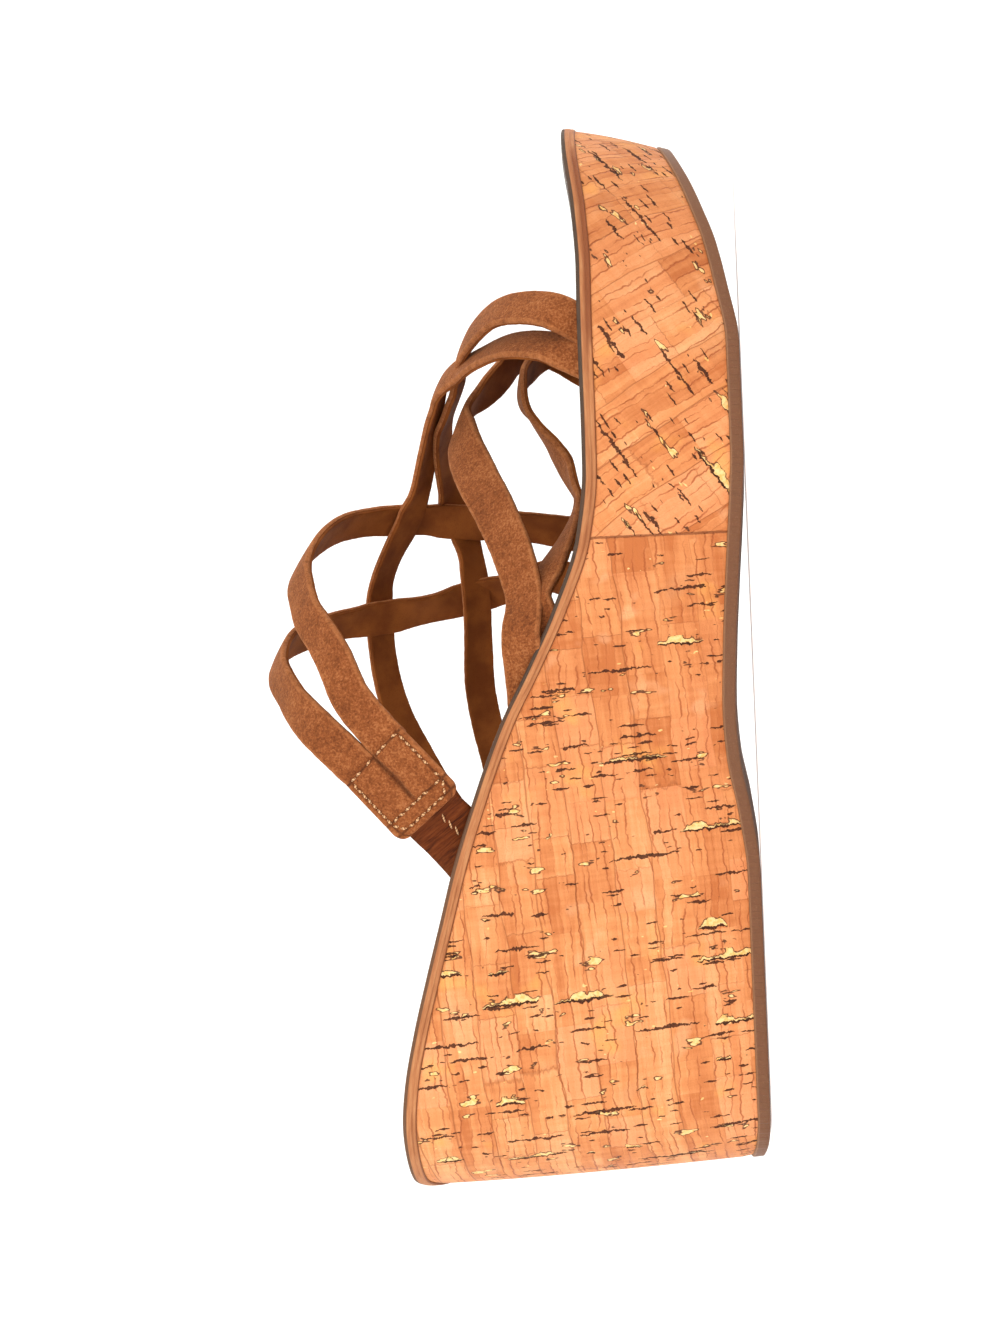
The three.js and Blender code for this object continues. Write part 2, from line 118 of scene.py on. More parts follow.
PATH_SAMPLES = 40  # samples of the curve between two of a strap's points
PATH_REACH = 5  # sections over which places and turns are softened
FACE_REACH = 4  # sections over which faces are softened
TAB_PART = 0.6  # share of an instep strap's run past which it may meet the tab
TAB_LAP = 1.6  # how far the instep straps go on under the tab
TAB_SINK = 0.45  # how far they sink there, and on what length
TAB_SINK_LENGTH = 2.5
TAB_SAMPLES = 301
TAB_SECTIONS = 46
TAB_CORNER_SECTIONS = 16
TAB_COLUMNS = 73
TAB_END_ROUND = 0.7
STAND_OUT = 0.35  # how far the layers' walls stand out past the solids
SEAM_INSET = 2.2  # seam round the insole: from its edge, from stitch to stitch, and clear of the slots
SEAM_PITCH = 4.0
SEAM_CLEAR = 6.5
INSOLE_LIFT = 0.2  # how far the padded face rises over the edge
OUTSOLE_COUNT = 230  # points along one side of the layers
RIM_COUNT = 260
INSOLE_COUNT = 240
UPRIGHT = np.array([0.0, 0.0, 1.0])


def table(columns, rows):
    """Named columns of a short table, each as an array."""
    values = np.array(rows, dtype=float)
    return {name: values[:, i] for i, name in enumerate(columns.split())}


PLAN = table(
    "along outer inner",
    [
        [0.0, 0.0, 0.0],
        [0.12, 0.0, 0.0],
        [0.23, 0.04, -0.08],
        [0.35, 0.15, -0.23],
        [0.45, 0.36, -0.23],
        [0.55, 0.62, 0.05],
        [0.64, 0.85, 0.5],
        [0.72, 0.98, 0.82],
        [0.78, 1.0, 0.86],
        [1.0, 1.0, 0.86],
    ],
)

TOP_LINE = table(
    "along seat lift",
    [
        [0.0, 1.0, 0],
        [0.07, 0.99, 0],
        [0.12, 0.96, 0],
        [0.165, 0.91, 0],
        [0.215, 0.84, 0],
        [0.265, 0.765, 0],
        [0.315, 0.69, 0],
        [0.37, 0.59, 0],
        [0.44, 0.44, 0],
        [0.49, 0.3, 0],
        [0.54, 0.17, 0],
        [0.6, 0.05, 0],
        [0.66, 0.005, 0],
        [0.72, 0, 0],
        [0.83, 0, 0],
        [0.89, 0, 0.2],
        [0.95, 0, 0.64],
        [1.0, 0, 1.0],
    ],
)

GROUND_LINE = table(
    "along bevel arch spring",
    [
        [0.0, 1, 0, 0],
        [0.03, 0.25, 0, 0],
        [0.06, 0, 0, 0],
        [0.29, 0, 0, 0],
        [0.35, 0, 0.37, 0],
        [0.4, 0, 0.88, 0],
        [0.44, 0, 1, 0],
        [0.5, 0, 0.84, 0],
        [0.57, 0, 0.52, 0],
        [0.64, 0, 0.15, 0],
        [0.68, 0, 0, 0],
        [0.775, 0, 0, 0],
        [0.83, 0, 0, 0.14],
        [0.875, 0, 0, 0.29],
        [0.905, 0, 0, 0.44],
        [0.94, 0, 0, 0.63],
        [0.97, 0, 0, 0.82],
        [1.0, 0, 0, 1],
    ],
)

RIDGE = table(
    "along high",
    [[0.3, 1.0], [0.54, 1.0], [0.62, 0.88], [0.7, 0.69], [0.78, 0.54], [0.9, 0.4]],
)

# Places on the rim where straps go in: share of the length, side, and which strap of a pair.
ROOTS = {
    "vamp_outer_toe": (0.77, -1, 1),
    "vamp_outer_heel": (0.77, -1, -1),
    "vamp_inner_toe": (0.8, 1, 1),
    "vamp_inner_heel": (0.8, 1, -1),
    "waist_outer_toe": (0.503, -1, 1),
    "waist_outer_heel": (0.503, -1, -1),
    "instep_inner_toe": (0.617, 1, 0),
    "instep_inner_heel": (0.57, 1, 0),
    "heel_inner_toe": (0.362, 1, 0),
    "heel_inner_heel": (0.3, 1, 0),
    "anchor_outer": (0.337, -1, 0),
}

# Middle lines of the straps: shares of length, half ball width and instep height, the turn of the
# face in degrees, and the share of the strap's own width.
COLUMNS = "along across high turn wide"
STRAPS = {
    "vamp_toe": {
        "width": VAMP_STRAP_WIDTH,
        "from": "vamp_outer_toe",
        "to": "heel_inner_toe",
        "rows": table(
            COLUMNS,
            [
                [0.796, -0.92, 0.06, 22, 1.1],
                [0.804, -0.85, 0.14, 24, 1.08],
                [0.808, -0.67, 0.26, 20, 1],
                [0.795, -0.42, 0.37, 8, 1],
                [0.778, -0.16, 0.44, 2, 1],
                [0.757, 0.06, 0.483, -6, 1],
                [0.733, 0.26, 0.54, -13, 1],
                [0.7, 0.52, 0.568, -26, 1],
                [0.664, 0.68, 0.558, -36, 1],
                [0.63, 0.76, 0.51, -38, 1],
                [0.592, 0.77, 0.465, -36, 1],
                [0.533, 0.76, 0.37, -30, 1],
                [0.471, 0.75, 0.255, -12, 1],
                [0.428, 0.7, 0.15, -6, 1],
                [0.395, 0.64, 0.07, 0, 1],
            ],
        ),
    },
    "vamp_heel": {
        "width": VAMP_STRAP_WIDTH,
        "from": "vamp_outer_heel",
        "to": "heel_inner_heel",
        "rows": table(
            COLUMNS,
            [
                [0.767, -0.88, 0.08, 38, 1.14],
                [0.777, -0.7, 0.22, 38, 1.12],
                [0.774, -0.45, 0.35, 26, 1],
                [0.767, -0.23, 0.44, 4, 1],
                [0.757, -0.05, 0.51, -4, 1],
                [0.74, 0.12, 0.555, -6, 1],
                [0.71, 0.32, 0.605, -15, 1],
                [0.674, 0.46, 0.65, -22, 1],
                [0.635, 0.555, 0.71, -25, 1],
                [0.61, 0.58, 0.755, -27, 1],
                [0.579, 0.6, 0.77, -28, 1],
                [0.536, 0.62, 0.715, -27, 1],
                [0.492, 0.66, 0.63, -25, 1],
                [0.448, 0.68, 0.51, -24, 1],
                [0.403, 0.67, 0.365, -20, 1],
                [0.357, 0.62, 0.21, -12, 1],
                [0.322, 0.57, 0.085, 0, 1],
            ],
        ),
    },
    "instep_toe": {
        "width": STRAP_WIDTH,
        "from": "instep_inner_toe",
        "half": 1,
        "rows": table(
            COLUMNS,
            [
                [0.628, 0.82, 0.16, -30, 1],
                [0.637, 0.82, 0.33, -38, 1],
                [0.645, 0.73, 0.56, -29, 1],
                [0.647, 0.58, 0.74, -20, 1],
                [0.642, 0.39, 0.855, -15, 1],
                [0.635, 0.22, 0.905, -7, 1],
                [0.622, 0.03, 0.935, 0, 1],
                [0.604, -0.17, 0.945, 5, 1],
                [0.585, -0.33, 0.93, 9, 1],
                [0.567, -0.46, 0.88, 13, 1],
                [0.547, -0.58, 0.815, 12, 1],
                [0.528, -0.68, 0.73, 8, 1],
                [0.505, -0.765, 0.635, 3, 1],
            ],
        ),
    },
    "instep_heel": {
        "width": STRAP_WIDTH,
        "from": "instep_inner_heel",
        "half": -1,
        "rows": table(
            COLUMNS,
            [
                [0.583, 0.81, 0.2, -35, 1],
                [0.572, 0.83, 0.33, -42, 1],
                [0.562, 0.79, 0.47, -38, 1],
                [0.554, 0.71, 0.58, -32, 1],
                [0.548, 0.6, 0.69, -28, 1],
                [0.544, 0.48, 0.78, -23, 1],
                [0.539, 0.33, 0.85, -18, 1],
                [0.53, 0.11, 0.9, -10, 1],
                [0.521, -0.1, 0.915, 0, 1],
                [0.508, -0.28, 0.895, 6, 1],
                [0.494, -0.42, 0.85, 14, 1],
                [0.48, -0.55, 0.78, 22, 1],
                [0.4635, -0.67, 0.696, 18, 1],
            ],
        ),
    },
    "cross_toe": {
        "width": STRAP_WIDTH,
        "from": "vamp_inner_toe",
        "to": "waist_outer_toe",
        "rows": table(
            COLUMNS,
            [
                [0.82, 0.93, 0.1, -25, 0.95],
                [0.819, 0.84, 0.165, -28, 0.92],
                [0.808, 0.68, 0.22, -30, 0.92],
                [0.79, 0.48, 0.25, -28, 0.92],
                [0.77, 0.28, 0.262, -18, 0.95],
                [0.748, 0.15, 0.245, -10, 1],
                [0.722, 0.08, 0.2, -4, 1],
                [0.699, 0.02, 0.147, 9, 1],
                [0.675, -0.05, 0.095, 42, 1],
                [0.66, -0.12, 0.07, 66, 1],
                [0.643, -0.2, 0.05, 82, 1],
                [0.61, -0.42, 0.062, 60, 1],
                [0.58, -0.61, 0.078, 48, 1],
                [0.552, -0.75, 0.085, 30, 1],
            ],
        ),
    },
    "cross_heel": {
        "width": STRAP_WIDTH,
        "from": "vamp_inner_heel",
        "to": "waist_outer_heel",
        "rows": table(
            COLUMNS,
            [
                [0.797, 0.93, 0.08, -20, 0.95],
                [0.81, 0.84, 0.16, -26, 0.92],
                [0.811, 0.68, 0.235, -26, 0.92],
                [0.799, 0.5, 0.29, -18, 0.95],
                [0.776, 0.34, 0.35, -8, 1],
                [0.75, 0.19, 0.42, -6, 1],
                [0.728, 0.05, 0.452, -14, 1.05],
                [0.704, -0.11, 0.438, -10, 1.15],
                [0.67, -0.3, 0.38, -8, 1.15],
                [0.634, -0.48, 0.3, 0, 1.1],
                [0.59, -0.65, 0.2, 8, 1.05],
                [0.551, -0.75, 0.11, 22, 1],
                [0.52, -0.83, 0.07, 20, 1],
            ],
        ),
    },
}

TAB = table(
    "along across high",
    [[0.457, -0.8, 0.545], [0.43, -0.84, 0.41], [0.404, -0.86, 0.285], [0.3634, -0.822, 0.108]],
)

# Crossings: the strap nearer the foot, the strap over it, about where, in shares, and how far along the
# straps they part, in millimetres.
CROSSINGS = [
    ("instep_toe", "vamp_toe", (0.642, 0.72, 0.55), 8.0),
    ("vamp_toe", "instep_heel", (0.567, 0.77, 0.43), 8.0),
    ("vamp_heel", "instep_toe", (0.652, 0.52, 0.68), 7.0),
    ("instep_heel", "vamp_heel", (0.54, 0.6, 0.72), 7.0),
    ("vamp_toe", "vamp_heel", (0.77, -0.16, 0.45), 7.0),
    ("cross_heel", "vamp_toe", (0.748, 0.2, 0.44), 7.0),
    ("cross_toe", "cross_heel", (0.8, 0.6, 0.24), 16.0),
]


def lookup(rows, column, place):
    """Value of a column at each place: cubic Hermite pieces whose inner slopes are the harmonic means of
    the two neighbouring slopes, or nothing where those change sign."""
    x, y = rows["along"], rows[column]
    place = np.clip(np.asarray(place, dtype=float), x[0], x[-1])
    i = np.clip(np.searchsorted(x, place, side="right") - 1, 0, len(x) - 2)
    step = np.diff(x)
    slope = np.diff(y) / step
    product = slope[:-1] * slope[1:]
    total = slope[:-1] + slope[1:]
    inner = np.where(product > 0, 2 * product / np.where(total == 0, 1, total), 0)
    tangent = np.concatenate([slope[:1], inner, slope[-1:]])
    q = (place - x[i]) / step[i]
    start = (1 + 2 * q) * (1 - q) ** 2 * y[i] + q * (1 - q) ** 2 * step[i] * tangent[i]
    end = q * q * (3 - 2 * q) * y[i + 1] + q * q * (q - 1) * step[i] * tangent[i + 1]
    return start + end


def top_line(s):
    """Height of the insole: platform, plus the heel's share of the rise, plus the toe's share of the lift,
    less a quarter round at the back of the heel."""
    seat = lookup(TOP_LINE, "seat", s)
    corner = rounded(np.asarray(s, float) * LENGTH, HEEL_CORNER)
    return PLATFORM + (HEEL_HEIGHT - PLATFORM) * seat + TOE_LIFT * lookup(TOP_LINE, "lift", s) - corner


def ground_line(s):
    """Height of the outsole's underside: the sum of bevel, arch and spring, each times its share."""
    return (
        HEEL_BEVEL * lookup(GROUND_LINE, "bevel", s)
        + ARCH_LIFT * lookup(GROUND_LINE, "arch", s)
        + TOE_SPRING * lookup(GROUND_LINE, "spring", s)
    )


def round_ends(s):
    """Share of the width left near the ends: a superellipse over the heel's and over the toe's length."""
    back = np.maximum(0, 1 - s * LENGTH / HEEL_ROUND)
    front = np.maximum(0, 1 - (1 - s) * LENGTH / TOE_ROUND)
    heel = np.maximum(0, 1 - back**HEEL_POWER) ** (1 / HEEL_POWER)
    toe = np.maximum(0, 1 - front**TOE_POWER) ** (1 / TOE_POWER)
    return heel * toe


def toe_turn(s):
    """Shift of the middle line to the inner side: it grows with the square of the way into the toe."""
    return TOE_TURN * np.maximum(0, 1 - (1 - s) * LENGTH / TOE_ROUND) ** 2


def sole_point(s, t, level):
    """Point of the sole: x runs from heel to toe between the raked ends, y is the turned middle line plus t
    times the raked half width, z lies between the ground line (level 0) and the top line (level 1)."""
    s, t, level = np.broadcast_arrays(np.asarray(s, float), t, level)
    rake = np.maximum(0, 1 - level) ** RAKE_POWER
    share = np.where(t < 0, lookup(PLAN, "outer", s), lookup(PLAN, "inner", s))
    half = (HEEL_WIDTH + (BALL_WIDTH - HEEL_WIDTH) * share) / 2 - SIDE_RAKE * rake
    x = HEEL_RAKE * rake + s * (LENGTH - (TOE_RAKE + HEEL_RAKE) * rake)
    y = toe_turn(s) + t * half * round_ends(s)
    ground = ground_line(s)
    return np.stack([x, y, ground + level * (top_line(s) - ground)], axis=-1)


def below_top(s, drop):
    """Level that lies drop below the top line."""
    return 1 - drop / (top_line(s) - ground_line(s))


def above_ground(s, rise):
    """Level that lies rise above the ground line."""
    return rise / (top_line(s) - ground_line(s))


def unit(v):
    """Vectors along the last axis, divided by their lengths."""
    return v / np.maximum(np.linalg.norm(v, axis=-1, keepdims=True), 1e-12)


def rim(count):
    """Once round the plan, heel to toe on the outer side and back on the inner side: share and side of each
    point, with shares spaced as (1 - cos) / 2 so that the round ends get even steps."""
    turn = np.pi * np.arange(count) / count
    s = np.concatenate([(1 - np.cos(turn)) / 2, (1 + np.cos(turn)) / 2])
    side = np.concatenate([-np.ones(count), np.ones(count)])
    return s, side


def plan_normal(s, side):
    """Outward direction in the plan: the closed outline's central difference, turned by a right angle."""
    outline = sole_point(s, side, 1.0)[:, :2]
    along = np.roll(outline, -1, axis=0) - np.roll(outline, 1, axis=0)
    return unit(np.stack([along[:, 1], -along[:, 0], np.zeros(len(s))], axis=-1))


def run_along(points):
    """Length along a line of points, from its first point to each."""
    return np.concatenate([[0], np.cumsum(np.linalg.norm(np.diff(points, axis=0), axis=1))])


def read_off(at, run, rows):
    """Rows of three values at new lengths along a line, straight between the rows given."""
    return np.stack([np.interp(at, run, rows[:, k]) for k in range(3)], axis=-1)


def square_to(vectors, direction):
    """Unit vectors left when the part that lies along a direction is taken away."""
    return unit(vectors - direction * np.sum(vectors * direction, axis=1, keepdims=True))


def perimeter(s, side):
    """Length along the outline from the back of the heel, with the closing point added."""
    outline = sole_point(s, side, 1.0)
    return run_along(np.concatenate([outline, outline[:1]]))


def rounded(distance, radius):
    """How far a quarter-round edge lies inside its corner: radius less the circle's height there."""
    left = np.clip(radius - distance, 0, radius)
    return radius - np.sqrt(np.maximum(0, radius**2 - left**2))


def foot_normal(p):
    """Direction in which the foot's surface faces: the gradient of elliptical sections whose height falls
    from instep to toe."""
    s = p[:, 0] / LENGTH
    half = FOOT_HALF_WIDTH * BALL_WIDTH / 2
    rise = np.maximum(0, p[:, 2] - top_line(s))
    up = rise / (INSTEP_HEIGHT * lookup(RIDGE, "high", s)) ** 2

    def crest(share):
        """Height of the foot's ridge: top line plus the ridge's share of the instep height."""
        return top_line(share) + INSTEP_HEIGHT * lookup(RIDGE, "high", share)

    fall = crest(s - SLOPE_STEP) - crest(s + SLOPE_STEP)
    forward = up * fall / (2 * SLOPE_STEP * LENGTH)
    return unit(np.stack([forward, p[:, 1] / half**2, up], axis=-1))


def share_point(along, across, high):
    """Point over the insole from its three shares."""
    along = np.asarray(along, float)
    y = np.asarray(across) * BALL_WIDTH / 2
    z = top_line(along) + np.asarray(high) * INSTEP_HEIGHT
    return np.stack([along * LENGTH, y, z], axis=-1)


def smooth_curve(points, at):
    """Centripetal Catmull-Rom curve: at counts points from the first, and each span is the cubic whose end
    slopes come from the root-spaced neighbours."""
    points = np.asarray(points, float)
    spans = len(points) - 1
    padded = np.vstack([2 * points[0] - points[1], points, 2 * points[-1] - points[-2]])
    i = np.clip(np.floor(at).astype(int), 0, spans - 1)
    w = (at - i)[:, None]
    p0, p1, p2, p3 = (padded[i + k] for k in range(4))
    pairs = ((p0, p1), (p1, p2), (p2, p3))
    d0, d1, d2 = (np.sqrt(np.linalg.norm(b - a, axis=1))[:, None] for a, b in pairs)
    m1 = ((p1 - p0) / d0 - (p2 - p0) / (d0 + d1) + (p2 - p1) / d1) * d1
    m2 = ((p2 - p1) / d1 - (p3 - p1) / (d1 + d2) + (p3 - p2) / d2) * d1
    return p1 + m1 * w + (-3 * p1 + 3 * p2 - 2 * m1 - m2) * w**2 + (2 * p1 - 2 * p2 + m1 + m2) * w**3


def soften(values, reach):
    """Moving average with a bell-shaped window that reaches that many samples, its ends held."""
    window = np.exp(-np.linspace(-2, 2, 2 * reach + 1) ** 2)
    padded = np.pad(values, reach, mode="edge")
    return np.convolve(padded, window / window.sum(), mode="valid")


def soften_rows(rows, reach):
    """The moving average of each of three columns."""
    return np.stack([soften(rows[:, k], reach) for k in range(3)], axis=-1)


def strap_path(points, turns, wides):
    """Even sections along a strap: softened place, direction, face and side. The face looks away from the
    foot, square to the path, and is turned about it by the softened turn."""
    spans = len(points) - 1
    at = np.linspace(0, spans, PATH_SAMPLES * spans + 1)
    dense = smooth_curve(points, at)
    run = run_along(dense)
    even = np.linspace(0, run[-1], max(2, int(run[-1] / PATH_STEP)))
    index = np.interp(even, run, at)
    number = np.arange(len(turns))
    path = {
        "place": soften_rows(read_off(even, run, dense), PATH_REACH),
        "run": even,
        "turn": soften(np.interp(index, number, turns), PATH_REACH),
        "wide": soften(np.interp(index, number, wides), PATH_REACH),
    }
    return aim(path)


def aim(path):
    """Directions of a path's sections: the foot's normal turned by the path's own turn, then leant to the
    faces shared at crossings, softened and made square to the path."""
    tangent = unit(np.gradient(path["place"], axis=0))
    face = square_to(foot_normal(path["place"]), tangent)
    side = np.cross(face, tangent)
    angle = np.radians(path["turn"])[:, None]
    face = face * np.cos(angle) - side * np.sin(angle)
    for share, shared_face in path.get("leans", []):
        face = face * (1 - share[:, None]) + shared_face * share[:, None]
    face = square_to(soften_rows(face, FACE_REACH), tangent)
    path["tangent"], path["face"], path["side"] = tangent, face, np.cross(face, tangent)
    return path


def cut_path(path, keep):
    """The sections of a path that are kept."""
    return {name: values[keep] for name, values in path.items()}


def root_point(name, width):
    """Place where a strap goes into the insole: on the rim, moved inwards, beside its pair's middle."""
    along, side, half = ROOTS[name]
    s = along + half * (width - PAIR_JOIN) / 2 / LENGTH
    point = sole_point(s, side, 1.0)
    return point - np.array([0, side * STRAP_INSET, 0])


def root_end(root, following):
    """Hidden end of a strap, straight on below the insole."""
    outwards = unit((following - root) * np.array([1, 0, 1]))
    return root - outwards * ROOT_LENGTH


TAB_POINTS = share_point(TAB["along"], TAB["across"], TAB["high"])


def beside_tab(index, half):
    """Point beside the tab's middle line, half a pair's width to the toe side or the heel side."""
    ahead = unit(TAB_POINTS[index + 1] - TAB_POINTS[index])
    side = unit(np.cross(ahead, foot_normal(TAB_POINTS[index : index + 1])[0]))
    toeward = np.sign(side[0]) * half
    apart = STRAP_WIDTH - PAIR_JOIN + NOTCH_GAPS[index]
    return TAB_POINTS[index] + side * toeward * apart / 2


def tab_line():
    """Close points on the tab's middle line, and the length along it to each."""
    dense = smooth_curve(TAB_POINTS, np.linspace(0, len(TAB_POINTS) - 1, TAB_SAMPLES))
    return dense, run_along(dense)


def tab_path():
    """Sections of the tab, from its sewn top row to its end, closer at the end's round corners."""
    dense, run = tab_line()
    straight = np.linspace(0, TAB_LENGTH - TAB_CORNER, TAB_SECTIONS)
    corner = TAB_LENGTH - TAB_CORNER * (1 - np.sin(np.linspace(0, np.pi / 2, TAB_CORNER_SECTIONS)))
    places = np.concatenate([straight, corner[1:]])
    start = run[-1] - TAB_LENGTH
    place = read_off(start + places, run, dense)
    tangent = unit(np.gradient(place, places, axis=0))
    face = square_to(foot_normal(place), tangent)
    side = np.cross(face, tangent)
    return {"place": place, "run": places, "tangent": tangent, "face": face, "side": side}


def sections_at(path, run):
    """Place, side, face and tangent of a path at new lengths along it."""
    return {name: read_off(run, path["run"], path[name]) for name in ("place", "side", "face", "tangent")}


def strap_points(strap):
    """A strap's points from end to end: hidden root, slot, the points of its table, and at the far end the
    same again or the points beside the tab. Also the turn and the share of width at each."""
    rows = strap["rows"]
    points = list(share_point(rows["along"], rows["across"], rows["high"]))
    start = root_point(strap["from"], strap["width"])
    points = [root_end(start, points[0]), start] + points
    if "to" in strap:
        finish = root_point(strap["to"], strap["width"])
        points += [finish, root_end(finish, points[-1])]
    else:
        points += [beside_tab(index, strap["half"]) for index in range(len(NOTCH_GAPS))]
    after = len(points) - 2 - len(rows["turn"])
    turns = [0, 0] + list(rows["turn"]) + [0] * after
    wides = [1, 1] + list(rows["wide"]) + [1] * after
    return points, turns, wides


def over_insole(path, width):
    """Which sections have their upper edge over the insole, or no deeper below it than a root goes."""
    upper = path["place"][:, 2] + np.abs(path["side"][:, 2]) * width / 2
    return upper > top_line(path["place"][:, 0] / LENGTH) - ROOT_DEPTH


def all_paths():
    """Paths of the six straps, trimmed at the insole and at the tab, and shifted apart where they cross.
    The instep straps sink a little below the face of the tab before they end under it."""
    tab = tab_path()
    paths = {}
    for name, strap in STRAPS.items():
        path = strap_path(*strap_points(strap))
        keep = over_insole(path, strap["width"])
        if "half" in strap:
            past = (path["place"] - tab["place"][0]) @ tab["tangent"][0]
            near = path["run"] > TAB_PART * path["run"][-1]
            keep &= ~(near & (past > TAB_LAP))
            sink = np.clip((past + TAB_SINK_LENGTH) / TAB_SINK_LENGTH, 0, 1) * near
            path["place"] = path["place"] - path["face"] * (TAB_SINK * sink)[:, None]
        first, last = np.flatnonzero(keep)[[0, -1]]
        paths[name] = cut_path(path, slice(first, last + 1))
    for under, over, about, spread in CROSSINGS:
        part_crossing(paths[under], paths[over], share_point(*about), spread)
    return {name: aim(path) for name, path in paths.items()}


def part_crossing(under, over, about, spread):
    """Makes two straps lie flat on each other where they cross: each leans to their mean face and moves
    along it by half of what is missing between them. Both fade with a flat-topped bell curve of the way
    along the strap."""
    far = [np.linalg.norm(path["place"] - about, axis=1) for path in (under, over)]
    near = [np.flatnonzero(distance < CROSSING_REACH) for distance in far]
    if min(len(n) for n in near) == 0:
        raise RuntimeError("two straps don't come near their crossing")
    gap = over["place"][near[1]][None] - under["place"][near[0]][:, None]
    i, j = np.unravel_index(np.argmin(np.linalg.norm(gap, axis=2)), gap.shape[:2])
    i, j = near[0][i], near[1][j]
    face = unit(over["face"][j] + under["face"][i])
    apart = (over["place"][j] - under["place"][i]) @ face
    missing = max(-CROSSING_PULL, STRAP + CROSSING_GAP - apart)
    for path, at, sign in ((under, i, -1), (over, j, 1)):
        bell = np.exp(-(((path["run"] - path["run"][at]) / spread) ** 4))
        path["place"] = path["place"] + sign * missing / 2 * bell[:, None] * face
        path.setdefault("leans", []).append((CROSSING_LEAN * bell, face))


def wobble(run, seed, waves, size):
    """Smooth seeded unevenness along a run: a sum of sines of random phase, in the given wave lengths."""
    random = np.random.default_rng(seed)
    total = np.zeros_like(run)
    for wave in waves:
        total += np.sin(2 * np.pi * run / wave + random.uniform(0, 2 * np.pi)) * random.uniform(0.5, 1)
    return size * total / len(waves)


# Mesh building


def grid_block(points, uv, wrap=False, slots=None, caps=False):
    """Quads of a grid of points, each point joined to its next neighbours, also round from the last column
    to the first where it wraps, and then the map has one more column. Slots are each column's material."""
    rows, columns = points.shape[:2]
    i, j = np.meshgrid(np.arange(rows - 1), np.arange(columns if wrap else columns - 1), indexing="ij")
    i, j = i.ravel(), j.ravel()
    k = (j + 1) % columns
    this, following = i * columns, (i + 1) * columns
    faces = np.stack([this + j, following + j, following + k, this + k], axis=1)
    corners = np.stack([uv[i, j], uv[i + 1, j], uv[i + 1, j + 1], uv[i, j + 1]], axis=1)
    slot = np.zeros(len(faces), int) if slots is None else np.asarray(slots)[j]
    ends = []
    if caps:
        ends = [list(range(columns))[::-1], [(rows - 1) * columns + c for c in range(columns)]]
    return {"points": points.reshape(-1, 3), "faces": faces, "corners": corners, "slot": slot, "caps": ends}


def volume_of(points, faces):
    """Signed volume of a closed mesh of quads: the sum of the tetrahedra to the first point."""
    p = points[faces] - points[0]
    first = np.einsum("ij,ij->i", p[:, 0], np.cross(p[:, 1], p[:, 2]))
    second = np.einsum("ij,ij->i", p[:, 0], np.cross(p[:, 2], p[:, 3]))
    return (first + second).sum() / 6


def make_piece(name, block, materials, sharp=35.0, merge=True):
    """One object from a closed block of quads. A block that is inside out is turned. Places go from
    millimetres behind the heel to metres in the part's frame."""
    quads, corners, caps = block["faces"], block["corners"], block["caps"]
    if volume_of(block["points"], quads) < 0:
        quads, corners = quads[:, ::-1], corners[:, ::-1]
        caps = [cap[::-1] for cap in caps]
    places = (block["points"] - np.array([HEEL_SPOT, 0, 0])) * MM
    mesh = bpy.data.meshes.new(name)
    mesh.from_pydata(places.tolist(), [], quads.tolist() + caps)
    uv = [corners.reshape(-1, 2)] + [np.tile(corners[0, 0], (len(cap), 1)) for cap in caps]
    layer = mesh.uv_layers.new(name="surface")
    layer.data.foreach_set("uv", np.concatenate(uv).astype(np.float32).ravel())
    index = np.concatenate([block["slot"], np.zeros(len(caps), int)])
    mesh.polygons.foreach_set("material_index", index.astype(np.int32))
    for material in materials:
        mesh.materials.append(material)
    if merge:
        work = bmesh.new()
        work.from_mesh(mesh)
        bmesh.ops.remove_doubles(work, verts=work.verts, dist=MERGE_DISTANCE)
        bmesh.ops.dissolve_degenerate(work, edges=work.edges, dist=SHORTEST_EDGE)
        work.to_mesh(mesh)
        work.free()
    mesh.polygons.foreach_set("use_smooth", np.ones(len(mesh.polygons), bool))
    mesh.set_sharp_from_angle(angle=math.radians(sharp))
    mesh.validate()
    piece = bpy.data.objects.new(name, mesh)
    bpy.context.scene.collection.objects.link(piece)
    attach(piece, "root")
    return piece


def shell_of_sole(rows, count=OUTSOLE_COUNT):
    """Closed layer of the sole as rings from its middle line out, up its wall and back in. Each row gives
    its ring's share of the half width, level and outset, and its height on the wall for the UV map."""
    s, side = rim(count)
    outwards = plan_normal(s, side)
    around = perimeter(s, side)
    rings, uv = [], []
    for t, level, outset, height in rows:
        rings.append(sole_point(s, side * t, level(s)) + outwards * outset)
        uv.append(np.stack([around, np.full(len(around), height)], axis=-1))
    return grid_block(np.stack(rings), np.stack(uv), wrap=True)


def between(low, high, f):
    """Level that lies the share f of the way from one level to another."""

    def level(s):
        """Both levels, each times its share."""
        return low(s) * (1 - f) + high(s) * f

    return level


def over_top(lift):
    """Level that lies lift above the top line."""

    def level(s):
        """The top's level plus the lift as a share of the height there."""
        return 1 + above_ground(s, lift)

    return level


def wall_rows(low, high, thick, steps, bulge, radius):
    """Rings of one layer: flat below, a wall with rounded edges that stands out by its bulge, and flat
    above."""
    flat = (0.0, 0.3, 0.6, 0.85, 0.97)
    rows = [(t, low, 0.0, 0.0) for t in flat]
    for f in np.linspace(0, 1, steps):
        inset = rounded(f * thick, radius) + rounded((1 - f) * thick, radius)
        rows.append((1.0, between(low, high, f), bulge(f) - inset, f * thick))
    return rows + [(t, high, 0.0, thick) for t in flat[::-1]]


